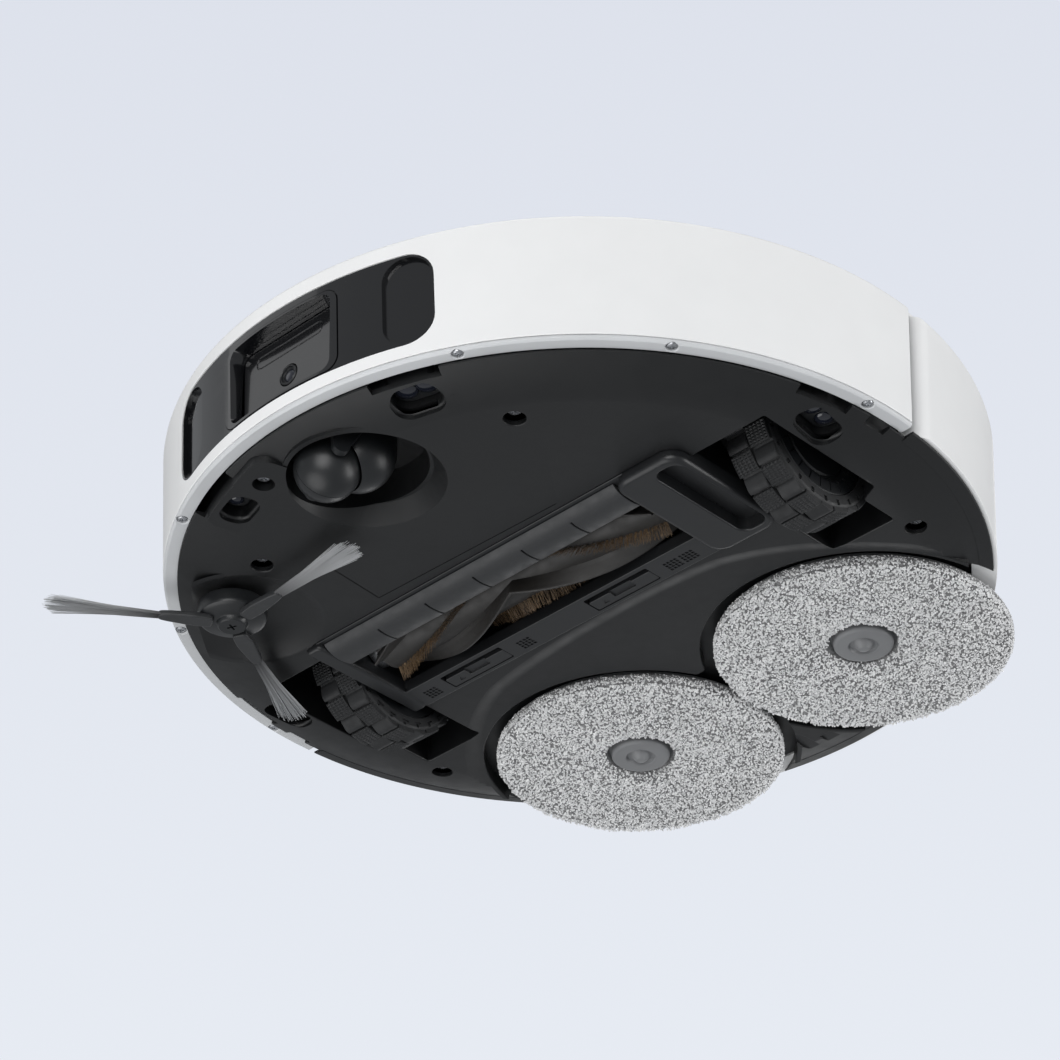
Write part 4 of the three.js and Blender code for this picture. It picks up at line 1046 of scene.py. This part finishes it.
def chassis():
    """The underside moulding: the pan with its walls joined on and its pockets cut."""
    body = pan()
    rim = lathe([(165.5, 16.9), (171.0, 18.1), (171.3, 18.4), (171.3, 19), (165.5, 18.8)])
    cut(rim, ahead_of(9.5))
    inside = lathe([(0, 0), (FRAME_R - 0.5, 0), (FRAME_R - 0.5, 90), (0, 90)])
    dish_at = (-106, -90, 0)
    caster_shape = disc_shape(CASTER, 28.5, 96)
    bay_shape = rect_shape(*BAY, 3)
    seat_shape = rect_shape(*COVER, 8, GAP)
    walls = [
        prism(caster_shape(2), 13, 36.5),
        prism(bay_shape(2), 13, 48),
        prism(seat_shape(2), 13, 18),
        lathe([(0, 13), (34, 13), (34, 21), (0, 21)], 96, at=(2, -124, 0)),
    ]
    hollows = [
        pit(caster_shape, PLATE, 34.5, lip=0.5),
        prism(bay_shape(0), 0, 46),
        pit(seat_shape, PLATE, 16, lip=0.6),
    ]
    for node in CLIFFS:
        shape = cliff_shape(node)
        walls.append(prism(shape(2), 17, 29.3))
        hollows.append(pit(shape, edges(node)[0].z - 4.6, 27.3, lip=1.2))
    for side in (1, -1):
        side_walls, side_hollows = one_side(side)
        walls += side_walls
        hollows += side_hollows
    bowl = common(lathe(dish_profile(2), 128, at=dish_at), prism(circle(*dish_at[:2], 60), 12.6, 40))
    walls.append(common(bowl, inside))
    patch = turned_outline(rounded_rect((-25, 25), (-10.5, 10.5), 8), -15, (-40, -148))
    walls.append(prism(patch, 12.6, 17))
    join(body, rim, *walls)
    hollows += [mop_step(), sloped_lip(1.5, -124.5), lathe(dish_profile(), 128, at=dish_at)]
    hollows += [pit(disc_shape(at, 4.6, 40), PLATE, 18, lip=0.5) for at in SCREW_HOLES]
    hollows.append(common(box_solid((-8.5, 8.5), (66, 84), (0, 20)), ring_outside(8.6, (0, 66))))
    for side in (1, -1):
        for a, b in ((14, 24.5), (74, 82.7), (86, 90)):
            hollows.append(prism(sector(163.2, 175, side * a - 90, side * b - 90)[::side], 8, 30))
    hollows += [rod(4.5, (30, 40), (CASTER.x, CASTER.y)), rod(5, (10, 30), SIDE_BRUSH)]
    hollows += [box_solid((-32, 32), (-38, -26), (40, 50)), box_solid((-36, 36), (-170, -150), (26, 72))]
    hollows += [panel_seam(), leaf_recess(), square_recess()]
    cut(body, *hollows)
    finished(body, "chassis_moulding", "chassis", ["chassis_base"], CHARCOAL, sharp=30)


def underside_screws():
    heads = []
    for at in SCREW_HOLES:
        head = lathe([(0, 15.6), (2.4, 15.6), (3.2, 16.3), (3.4, 17.4), (0, 17.4)], 40, at=(*at, 0))
        heads.append(cut(head, *crossed_bars(1.9, 0.4, (15, 16.3), at)))
    finished(merged("underside_screws", heads), "underside_screws", "chassis", [], STEEL)


def ring_outside(r, at):
    """Everything near a point except a round rod there."""
    block = box_solid((at[0] - 20, at[0] + 20), (at[1] - 20, at[1] + 20), (-1, 21))
    return cut(block, rod(r, (-5, 30), at, sides=64))


def panel_seam():
    """A fine seam ahead of the brush cover."""
    route = [(-53, -95), (-55, -63), (44, -60.5)]
    outline = [(u - 0.2, v - 0.2) for u, v in route] + [(u + 0.2, v + 0.2) for u, v in reversed(route)]
    return prism(anticlockwise(outline), 5, PLATE + 0.35)


def leaf_recess():
    """A shallow pointed recess between the pads at the rear."""
    points = bezier([(-5, 160), (-11, 154), (-9, 146), (-4, 141), (-1, 146), (-1, 155), (-5, 160)], 14)[:-1]
    points = anticlockwise(points)
    return pit(lambda grow: grown(points, grow), STEP_FACE, STEP_FACE + 1.0, lip=0.3)


def square_recess():
    return pit(rect_shape((2, 9), (150, 157), 1.0), STEP_FACE, STEP_FACE + 1.1, lip=0.3)


def cliff_sensors():
    """A plug in each recess with two round lenses that look down."""
    for node, (half_long, half_wide, angle) in CLIFFS.items():
        centre = middle_of(node)
        plug = slab(cliff_shape(node, GAP), 20.0, 27, foot=0.3, head=0.1)
        r = min(half_long, half_wide) - 2.4
        offset = max(half_long, half_wide) * 0.45
        spots = [(side * offset, 0) if half_long > half_wide else (0, side * offset) for side in (-1, 1)]
        spots = turned_outline(spots, angle, (centre.x, centre.y))
        cut(plug, *[rod(r + 0.35, (15, 20.5), at, sides=40) for at in spots])
        finished(plug, f"{node}_plug", "chassis", [node], SMOOTH_DARK, bevel=0.15)
        turns = [math.radians(d) for d in range(10, 91, 10)]
        bow = [(r * math.sin(a), 20.3 - 1.45 * math.cos(a)) for a in turns]
        for i, at in enumerate(spots):
            glass = lathe([(0, 18.85)] + bow + [(0, 20.6)], 40, at=(*at, 0))
            finished(glass, f"{node}_lens_{i + 1}", "chassis", [], LENS_GLASS)


# ---- Wheels ----
TREAD_PITCHES = 12


def knurled_patch(r0, r1, start, end, low, high, rows, columns):
    """A tread block whose face is a grid of small pyramids, about Z."""
    points, faces = [], []
    for j in range(columns * 2 + 1):
        for i in range(rows * 2 + 1):
            a = math.radians(start + (end - start) * i / (rows * 2))
            inside = 0 < i < rows * 2 and 0 < j < columns * 2
            peak = 0.45 if (i % 2 == 1 and j % 2 == 1) else 0.0
            edge = -0.25 if not inside else 0.0
            r = r1 - 0.45 + peak + edge
            points.append((r * math.cos(a), r * math.sin(a), low + (high - low) * j / (columns * 2)))
    stride = rows * 2 + 1
    for j in range(columns * 2):
        for i in range(rows * 2):
            a, b = j * stride + i, j * stride + i + 1
            c, d = b + stride, a + stride
            if (i + j) % 2:
                faces += [(a, b, d), (b, c, d)]
            else:
                faces += [(a, b, c), (a, c, d)]
    top = len(points)
    rim = [i for i in range(stride)]
    rim += [j * stride + stride - 1 for j in range(1, columns * 2 + 1)]
    rim += [columns * 2 * stride + i for i in range(stride - 2, -1, -1)]
    rim += [j * stride for j in range(columns * 2 - 1, 0, -1)]
    for i in rim:
        x, y, z = points[i]
        shrink = r0 / math.hypot(x, y)
        points.append((x * shrink, y * shrink, z))
    count = len(rim)
    for k in range(count):
        n = (k + 1) % count
        faces.append((rim[k], top + k, top + n, rim[n]))
    faces.append(tuple(top + k for k in range(count))[::-1])
    return mesh_piece("knurl", points, faces)


def ramp_block(r0, r1, start, end, low, high):
    """A smooth block that rises from its leading edge, with a bevelled rim."""
    steps = 10
    rings = []
    for k in range(steps + 1):
        t = k / steps
        a = math.radians(start + (end - start) * t)
        r = r0 + (r1 - r0) * min(1.0, 0.25 + 1.1 * t) - (0.3 if k in (0, steps) else 0)
        rings.append([(rr * math.cos(a), rr * math.sin(a), z)
                      for rr, z in ((r0 - 1, low), (r - 0.4, low), (r, low + 0.4), (r, high - 0.4),
                                    (r - 0.4, high), (r0 - 1, high))])
    points = [p for ring in rings for p in ring]
    faces = [tuple(range(6))]
    for k in range(steps):
        for i in range(6):
            j = (i + 1) % 6
            faces.append((k * 6 + i, (k + 1) * 6 + i, (k + 1) * 6 + j, k * 6 + j))
    faces.append(tuple(steps * 6 + i for i in range(5, -1, -1)))
    return mesh_piece("ramp", points, faces)


def on_wheel(obj, sign):
    """Lays a piece built about Z on the axle, on the left or mirrored to the right."""
    moved(obj, (108, WHEEL.y, WHEEL_R), X)
    return obj if sign > 0 else flipped(obj)


def tyre(side, sign):
    """A tyre with two staggered rows, each of knurled blocks and smooth ramps in turn."""
    width = 22.0
    half = [(26.9, 0.2), (31.2, 0.1), (32.4, 0.9)]
    ring = lathe(soften(half + [(r, width - z) for r, z in reversed(half)], 0.5, 3), 144)
    step = 360 / TREAD_PITCHES
    long_bar, short_bar = ((29.0, 31.4), (-0.9, 0.9)), ((29.0, 29.9), (-0.9, 2.6))
    cutters = ((*long_bar, (-2, 0.9)), (*short_bar, (-2, 0.9)), (*long_bar, (width - 0.9, width + 2)))
    turns = [step * i / 2 + 5 for i in range(TREAD_PITCHES * 2)]
    cut(ring, *[moved(box_solid(*bar), turn=turn) for turn in turns for bar in cutters])
    blocks = []
    for i in range(TREAD_PITCHES):
        for start, low, high in ((i * step, 0.7, 10.7), ((i + 0.5) * step, 11.3, 21.3)):
            blocks.append(knurled_patch(31.8, WHEEL_R, start, start + 0.5 * step, low, high, 7, 5))
            ramp = (start + 0.56 * step, start + 0.94 * step)
            blocks.append(ramp_block(32.2, WHEEL_R - 0.3, *ramp, low, high))
    ring = on_wheel(join(ring, merged("tread", blocks)), sign)
    finished(ring, f"tyre_{side}", f"wheel_{side}", [f"wheel_tyre_{side}"], TREAD, sharp=28)


def wheel_hub(side, sign):
    """The dished hub with a ring round its smooth cap, on the outer face, and the nut on its axle."""
    cap = [(3.4, 19.6), (3.6, 20.3), (12, 20.9), (17.2, 20.4), (17.8, 19.7)]
    cone = [(18.6, 19.8), (21, 21.8), (22.0, 22.0)]
    rim = [(26.2, 21.5), (26.6, 21.1), (26.6, 1.3), (26.3, 1), (22.3, 1), (22, 1.3), (22, 15), (3.4, 15)]
    hub = lathe((cap + cone + rim)[::-1], 128)
    cut(hub, *[moved(box_solid((19.6, 25.4), (-0.35, 0.35), (21.0, 23)), turn=15 * i) for i in range(24)])
    nut = lathe([(0, 18), (3.3, 18), (3.3, 20.1), (2.9, 20.5), (0, 20.6)], 48)
    body, nodes = f"wheel_{side}", [f"wheel_hub_{side}"]
    finished(on_wheel(hub, sign), f"hub_{side}", body, nodes, SMOOTH_DARK, bevel=0.15)
    finished(on_wheel(nut, sign), f"axle_cap_{side}", body, [], STEEL, bevel=0.15)


def wheels():
    for side, sign in (("left", 1), ("right", -1)):
        tyre(side, sign)
        wheel_hub(side, sign)
        from_cad(f"wheel_module_{side}", f"drive_arm_{side}", INNER_DARK, bevel=0.5)


# ---- Caster ----
def swing_place():
    """How far the ball trails behind the caster's axis, and in which direction."""
    trail = BALL.xy - CASTER.xy
    return trail.length, math.degrees(math.atan2(trail.y, trail.x))


def ball_profile(r, cap=75.6, steps=24):
    """A ball with a flat at each end of its axle."""
    angles = [math.radians(-cap + 2 * cap * i / steps) for i in range(steps + 1)]
    rim = [(r * math.cos(a), r * math.sin(a)) for a in angles]
    return [(0, rim[0][1])] + rim + [(0, rim[-1][1])]


def caster():
    trail, facing = swing_place()
    r = BALL.z
    dome = bezier([(0, 8.6), (5, 8.6), (9, 10.0), (11.6, 13.4), (14, 16.6), (15.5, 20), (15.5, 26)], 12)
    fork = lathe(dome + [(15.5, 33.8), (15.1, 34.2), (4, 34.2), (4, 43.7), (3.7, 44), (0, 44)], 128)
    reach, outer = trail + 4.5, r + 4.9
    bridge = slab(lambda g: rounded_rect((-8, reach), (-outer, outer), 4, g), 29.5, 34.2, foot=0.8)
    arms = []
    for span in ((r + 1.2, outer - 0.4), (-outer + 0.4, -r - 1.2)):
        strap = [(trail + u, v) for u, v in arc(0, r, 3.6, 180, 360, 16)] + [(trail + 4.5, 33), (-2, 33)]
        arms.append(faced(prism(strap, span[0], span[1]), Y))
    nest = lathe([(0, -r - 0.9)] + arc(0, 0, r + 0.9, -84, 84, 28) + [(0, r + 0.9)], 96, at=(trail, 0, r))
    join(fork, bridge, *arms)
    cut(fork, nest, rod(2.3, (-17, 17), (trail, r), Y))
    moved(fork, (CASTER.x, CASTER.y, 0), turn=facing)
    body = "caster_swivel"
    finished(fork, "caster_fork_dome", body, ["caster_fork"], SMOOTH_DARK, bevel=0.3)
    ball = lathe(ball_profile(r), 128)
    groove_r = r - 0.25
    groove = lathe([(groove_r, -0.12), (r + 1, -0.12), (r + 1, 0.12), (groove_r, 0.12)], 128)
    cut(ball, groove)
    join(ball, rod(1.9, (-16.4, 16.4)))
    ball.data.transform(AXIS_TURNS[Y])
    moved(ball, tuple(BALL), turn=facing)
    finished(ball, "caster_ball_wheel", "caster_wheel", ["caster_ball"], CASTER_NYLON, sharp=30)


# ---- Main brush, its cover and its flaps ----
ROLLER = (-91.0, 69.0)
ROLLER_R = 17.6
TWIST = math.degrees(0.026)  # degrees of twist per millimetre from the middle


def roller_point(x, angle, r):
    """A point on the roller, whose rows turn away from its middle like a chevron."""
    a = math.radians(angle + abs(x - sum(ROLLER) / 2) * TWIST)
    return Vector((x, ROLLER_Y + r * math.cos(a), ROLLER_Z + r * math.sin(a)))


def roller_fin(angle):
    """A rubber fin along the roller, thin at its tip and leaning into the turn."""
    front = [(10.2, -14), (12.5, -7), (15.5, -2.5), (17.3, -1.2), (ROLLER_R, 0.6)]
    section = soften(front + [(17.3, 2.6), (15.5, 3.4), (12.5, 6.5), (10.2, 13)], 0.6, 2)
    steps, count = 64, len(section)
    points = []
    for k in range(steps + 1):
        x = ROLLER[0] + 0.6 + (ROLLER[1] - ROLLER[0] - 1.2) * k / steps
        points += [roller_point(x, angle + a, r) for r, a in section]
    ends = [tuple(range(count))[::-1], tuple(steps * count + i for i in range(count))]
    return mesh_piece("fin", points, ends + tube_faces(steps + 1, count))


def hair(points, faces, root, tip, width, bend=None):
    """Adds one hair to a list of points and faces: a thin three-sided spike, or a bent one."""
    axis = (tip - root).normalized()
    across = axis.orthogonal().normalized()
    other = axis.cross(across)
    stations = [(root, width), (tip, width * 0.3)]
    if bend is not None:
        stations = [(root, width), (root.lerp(tip, 0.5) + bend, width * 0.8), (tip, width * 0.35)]
    start = len(points)
    for centre, size in stations:
        for k in range(3):
            a = 2 * math.pi * k / 3
            points.append(centre + (across * math.cos(a) + other * math.sin(a)) * size / 2)
    end = len(points) - 3
    faces += tube_faces(len(stations), 3, start)
    faces += [(start + 2, start + 1, start), (end, end + 1, end + 2)]


def arm_bristles(rng):
    """A bundle of bristles along X that spreads towards its tips."""
    points, faces = [], []
    for _ in range(110):
        across = rng.uniform(-1, 1)
        length = 78 - 3.5 * across**2 + rng.uniform(-3.5, 0.8)
        spread = across * 6.3 + rng.uniform(-0.5, 0.5)
        near = Vector((24, across * 1.6, rng.uniform(4.7, 5.9)))
        far = Vector((length, spread, 4.6 + rng.uniform(-0.7, 1.2)))
        bow = Vector((0, -across * 0.9, rng.uniform(-0.25, 0.35)))
        hair(points, faces, near, far, 0.55, bend=bow)
    return mesh_piece("tips", points, faces)


def roller_bristles(angle, seed):
    """A row of bristle tufts along the roller."""
    rng = random.Random(seed)
    points, faces = [], []
    tuft_gap = 2.1
    for k in range(int((ROLLER[1] - ROLLER[0] - 3) / tuft_gap)):
        for _ in range(14):
            x = ROLLER[0] + 2 + tuft_gap * k + rng.uniform(-0.75, 0.75)
            a = angle + rng.uniform(-4, 4)
            reach = 16.7 + rng.uniform(-0.5, 0.6)
            root = roller_point(x, a, 10.4)
            tip = roller_point(x + rng.uniform(-0.9, 0.9), a + rng.uniform(-4.5, 4.5), reach)
            hair(points, faces, root, tip, 0.3)
    return mesh_piece("bristles", points, faces)


def main_brush():
    """The roller's core with three fins and three rows of bristles by turns."""
    core_r = 10.9
    left = [(0, -97.2), (3, -97.2), (3, -91.4), (9.5, -91.4), (core_r, -90.6)]
    right = [(core_r, 68.6), (9.5, 69.4), (4, 69.4), (4, 81.7), (3.7, 82), (0, 82)]
    core = lathe(left + right, 96, at=(0, ROLLER_Y, ROLLER_Z), axis=X)
    finished(core, "roller_core", "brush_roller", ["main_brush"], FIN_RUBBER, sharp=35)
    body = "brush_roller"
    for i in range(3):
        fin = roller_fin(120 * i)
        finished(fin, f"roller_fin_{i + 1}", body, [], FIN_RUBBER, sharp=50)
        row = roller_bristles(60 + 120 * i, 20 + i)
        finished(row, f"roller_bristles_{i + 1}", body, [], BRISTLE_BROWN, sharp=50)


MOUTH = ((-97.0, 70.0), (-38.0, -6.0))
LATCHES = {"brush_latch_right": (-79.0, -44.0), "brush_latch_left": (5.0, 40.0)}
LATCH_Y = (-0.8, 5.8)
LATCH_TRAVEL = 2.5


def brush_cover():
    """The frame round the brush, with a broad smooth cap at one end."""
    (left, right), (front, rear) = COVER
    plate = slab(rect_shape(*COVER, 8), PLATE, 15.7, foot=0.5, head=0.2)
    right_bar = slab(rect_shape((left, MOUTH[0][0]), (front, rear), 3.5), 9.3, 13, foot=1.6)
    rear_bar = slab(rect_shape((-99, 73), (MOUTH[1][1], rear), 1.2), 10, 13, foot=0.5)
    cap = slab(rect_shape((MOUTH[0][1], right), (front, rear), 8), 7.4, 13.5, foot=2.6, steps=7)
    join(plate, right_bar, rear_bar, cap)
    slot_y = (LATCH_Y[0] - LATCH_TRAVEL - 0.5, LATCH_Y[1] + GAP)
    latch_slots = [slab(rect_shape(x, slot_y, 0.8), 5, 12.8, foot=0.1, head=0.1) for x in LATCHES.values()]
    mouth = pit(rect_shape(*MOUTH, 1.5), 10, 20, lip=0.5)
    cap_hollow = pit(rect_shape((88, 101.5), (-52, 3), 5), 7.4, 13.8, lip=0.8)
    relief = box_solid((-112, -104.3), (-60, 20), (0, 12))
    cells = []
    for x in [start + 1.9 * i for start in (-91.5, -36, 47.5, 56) for i in range(4)]:
        spans = [(1.6 * j - 0.9, 1.6 * j + 0.3) for j in range(4)]
        cells += [box_solid((x - 0.7, x + 0.7), y, (8, 10.45)) for y in spans]
    cut(plate, mouth, cap_hollow, relief, *latch_slots, merged("grid", cells))
    finished(plate, "brush_cover_frame", "chassis", ["brush_cover"], COVER_DARK, bevel=0.25)


def brush_flaps():
    """Six curved rubber segments ahead of the brush, split by narrow slits."""
    lower = bezier([(-55, 11.7), (-52, 8.2), (-45, 7.2), (-38.6, 9.4)], 14)
    upper = bezier([(-38.6, 10.9), (-45, 9), (-49, 9.6), (-51, 11.7)], 14)
    start, end, count = -96.7, 69.7, 6
    strip = along_x(anticlockwise(lower + upper), start, end)
    splits = [start + (end - start) * i / count for i in range(1, count)]
    slits = [slab(rect_shape((x - 0.45, x + 0.45), (-50, -30), 0.4), 0, 12.5, 0.1, 0.1) for x in splits]
    cut(strip, *slits)
    finished(strip, "flap_strip", "chassis", ["brush_flap"], FLAP_RUBBER, 0.25, sharp=40)


def anticlockwise(points):
    return points if signed_area(points) > 0 else points[::-1]


def latches():
    """Two sliding tabs, each with a finger pocket and an arrow cut into it."""
    front, rear = LATCH_Y
    for node, (left, right) in LATCHES.items():
        tab = slab(rect_shape((left + GAP, right - GAP), LATCH_Y, 1.0), 10.1, 12.5, foot=0.4, head=0.1)
        grip = pit(rect_shape((left + 12, left + 24), (front - 1, rear - 2.6), 0.8), 10.1, 11, lip=0.3)
        middle = (left + right) / 2
        arrow = prism(anticlockwise([(middle - 12, 3.9), (middle - 9, 3.9), (middle - 10.5, 1.2)]), 8, 10.45)
        cut(tab, grip, arrow)
        body = node.replace("brush_", "")
        finished(tab, f"{node}_tab", body, [node], COVER_DARK, bevel=0.12)


# ---- Side brush ----
ARM_ANGLES = (-3.0, 117.0, 237.0)


def side_brush():
    """The hub with its raised cap, and three dark arms that end in pale bristles."""
    at = (*SIDE_BRUSH, 0)
    cap = [(0, 3.4), (5.4, 3.4), (6, 3.9), (6.6, 5.2), (7.3, 5.5), (12.6, 6.4), (14.1, 7.4), (14.5, 8.6)]
    stem = [(14.5, 13.3), (14.3, 13.5), (3, 13.5), (3, 25.7), (2.7, 26), (0, 26)]
    hub = lathe(cap + stem, 96, at=at)
    cut(hub, *[moved(box_solid((-2.2, 2.2), (-0.45, 0.45), (2, 4.4)), at, turn=a) for a in (20, 110)])
    finished(hub, "side_brush_hub", "side_sweeper", ["side_brush"], SMOOTH_DARK, bevel=0.12)
    upper = [(31, 1.8), (27, 2.7), (16, 3.8), (8, 3.2)]
    outline = soften([(u, -v) for u, v in reversed(upper)] + upper, 2, 4)
    rng = random.Random(7)
    body = "side_sweeper"
    for number, angle in enumerate(ARM_ANGLES, 1):
        root = slab(lambda grow: grown(outline, grow), 4.0, 6.6, foot=0.8, head=0.5)
        moved(root, at, turn=angle)
        finished(root, f"side_brush_root_{number}", body, [], FLAP_RUBBER, sharp=45)
        tips = moved(arm_bristles(rng), at, turn=angle)
        name = f"side_brush_bristles_{number}"
        finished(tips, name, body, [], BRISTLE_NYLON, sharp=70)


# ---- Mops ----
PAD_LOW = 10.3


def mop_disc(side, sign):
    """The hub is a flange with a dished middle and a cone-shaped boss, on the plate behind the cloth."""
    boss = [(0, 10.3), (1.8, 10.3), (2.3, 10.5), (4.3, 13.0), (5.0, 13.3), (5.8, 13.2)]
    flange = [(6.4, 12.0), (6.9, 11.7), (10.9, 11.7), (12.0, 12.0), (12.7, 12.7), (12.9, 13.5), (12.9, 16.6)]
    plate = [(60.7, 16.6), (61, 16.9), (61, 18), (60.7, 18.3), (5, 18.3), (5, 41.7), (4.7, 42), (0, 42)]
    disc = lathe(boss + flange + plate, 128, at=(sign * MOP_X, MOP_Y, 0))
    node = f"mop_disc_{side}"
    finished(disc, f"{node}_hub", f"mop_{side}", [node], MOP_GREY, bevel=0.1)


def pad_lobe(angle, r):
    """Height of the shallow radial swellings on a pad, from 0 to 1."""
    wave = 0.5 + 0.5 * math.cos(math.radians(angle) * 12 + 1.2 * math.sin(math.radians(angle) * 3))
    return 0.6 * wave * min(1, max(0, (r - 16) / 14))


def pile_level(r):
    """Height of a pad's lower face, which is drawn in round its hub."""
    near = max(0.0, 1 - (r - 15) / 9)
    return 11.2 + 2.4 * near * near


def mop_pad(side, sign, seed):
    """A thick ring of cloth with rounded rims and slight swellings below, covered with tufts."""
    section = [(14.4, 16.3), (14.5, 14.6), (15.2, 14.1)]
    section += [(r, pile_level(r)) for r in [16.8] + [18 + 3.2 * k for k in range(13)]]
    section += [(59.5, 11.4), (61.6, 12.0), (62.8, 13.0), (63.3, 14.4)]
    section += [(62.9, 15.7), (61.6, 16.2), (30, 16.3)]
    sides = 192
    points = []
    rng = random.Random(seed)
    for r, z in section:
        facing_down = 1.0 if z < 14 else 0.0
        for i in range(sides):
            angle = 360 * i / sides
            a = math.radians(angle)
            wobble = rng.uniform(-0.12, 0.12) * facing_down
            low = z - 0.5 * pad_lobe(angle, r) * facing_down + wobble
            points.append((r * math.cos(a), r * math.sin(a), low))
    count = len(points)
    faces = [tuple(n % count for n in face)[::-1] for face in tube_faces(len(section) + 1, sides)]
    pad = moved(mesh_piece("pad", points, faces), (sign * MOP_X, MOP_Y, 0))
    name, body = f"mop_pad_{side}", f"mop_{side}"
    # The base under the tufts carries painted shade: its dark colour stands for the shade in the gaps
    # between the tufts.
    finished(pad, f"{name}_base", body, [name], MOP_GAP_SHADE, sharp=80)
    finished(pad_fibres(sign, seed), f"{name}_pile", body, [], MOP_CLOTH, sharp=80)


def tuft(points, faces, root, tip, width):
    """Adds a drop-shaped tuft of pile, thickest near its tip."""
    axis = (tip - root).normalized()
    across = axis.orthogonal().normalized()
    other = axis.cross(across)
    start = len(points)
    points.append(root)
    for k in range(3):
        a = 2 * math.pi * k / 3
        points.append(root.lerp(tip, 0.62) + (across * math.cos(a) + other * math.sin(a)) * width / 2)
    points.append(tip)
    for k in range(3):
        here, ahead = start + 1 + k, start + 1 + (k + 1) % 3
        faces += [(start, ahead, here), (here, ahead, start + 4)]


def pad_fibres(sign, seed):
    """Short thick tufts over a pad's lower face and outer rim, kept clear of the other pad as it turns."""
    rng = random.Random(seed + 50)
    centre = Vector((sign * MOP_X, MOP_Y, 0))
    points, faces = [], []
    reach = MOP_X - 0.1
    for n in range(19000):
        angle = rng.uniform(0, 360)
        a = math.radians(angle)
        out = Vector((math.cos(a), math.sin(a), 0))
        swirl = Vector((-out.y, out.x, 0)) * rng.uniform(-1.2, 1.2)
        if n % 6 == 0:
            root = centre + out * rng.uniform(61.9, 63.0) + Vector((0, 0, rng.uniform(11.9, 15.6)))
            lean = out + swirl * 0.5 + Vector((0, 0, rng.uniform(-0.9, 0.15)))
            length = rng.uniform(0.9, 2.1)
        else:
            r = math.sqrt(rng.uniform(15.2**2, 62.6**2))
            root = centre + out * r + Vector((0, 0, pile_level(r) + 0.4 - 0.5 * pad_lobe(angle, r)))
            lean = out * rng.uniform(-1.2, 1.2) + swirl + Vector((0, 0, -rng.uniform(0.5, 1.4)))
            length = rng.uniform(0.9, 1.6)
        tip = root + lean.normalized() * length
        tip.z = max(tip.z, PAD_LOW - 0.4)
        width = rng.uniform(0.9, 1.5)
        from_centre = (tip - centre).xy
        if from_centre.length > reach - width / 2:
            from_centre = from_centre.normalized() * (reach - width / 2)
            tip.x, tip.y = centre.xy + from_centre
        tuft(points, faces, root, tip, width)
    return mesh_piece("pile", points, faces)


def mops():
    for side, sign, seed in (("left", 1, 3), ("right", -1, 4)):
        mop_disc(side, sign)
        mop_pad(side, sign, seed)


# ---- Pieces that keep the CAD model's shape ----
PLAIN_PIECES = {
    "sensor_module": ("circuit_board", BOARD),
    "battery_pack": ("battery_wrap", WRAP),
    "main_board": ("circuit_board", BOARD),
    "water_tank": ("tinted_clear", CLEAR),
    "suction_fan_housing": ("charcoal", INNER_DARK),
    "suction_fan_impeller": ("charcoal", COVER_DARK),
    "dust_bin": ("tinted_clear", CLEAR),
    "dust_filter": ("white_shell", FILTER_PAPER),
    "main_brush_bearing": ("steel", STEEL),
    "main_brush_motor": ("charcoal", INNER_DARK),
    "side_brush_motor": ("charcoal", INNER_DARK),
    "charging_contact_left": ("contact_metal", CONTACT),
    "charging_contact_right": ("contact_metal", CONTACT),
    "mop_drive_left": ("charcoal", INNER_DARK),
    "mop_drive_right": ("charcoal", INNER_DARK),
}


def plain_pieces():
    for node, (slot_name, material) in PLAIN_PIECES.items():
        from_cad(node, f"{node}_body", material, bevel=0.3)


# ---- The robot ----
bumper_shell()
bumper_bezel()
bezel_screws()
bumper_window()
camera_pane()
camera_lens()
springs()
rear_shell()
top_cover()
lid()
buttons()
turret()
chassis()
underside_screws()
cliff_sensors()
wheels()
caster()
main_brush()
brush_cover()
brush_flaps()
latches()
side_brush()
mops()
plain_pieces()
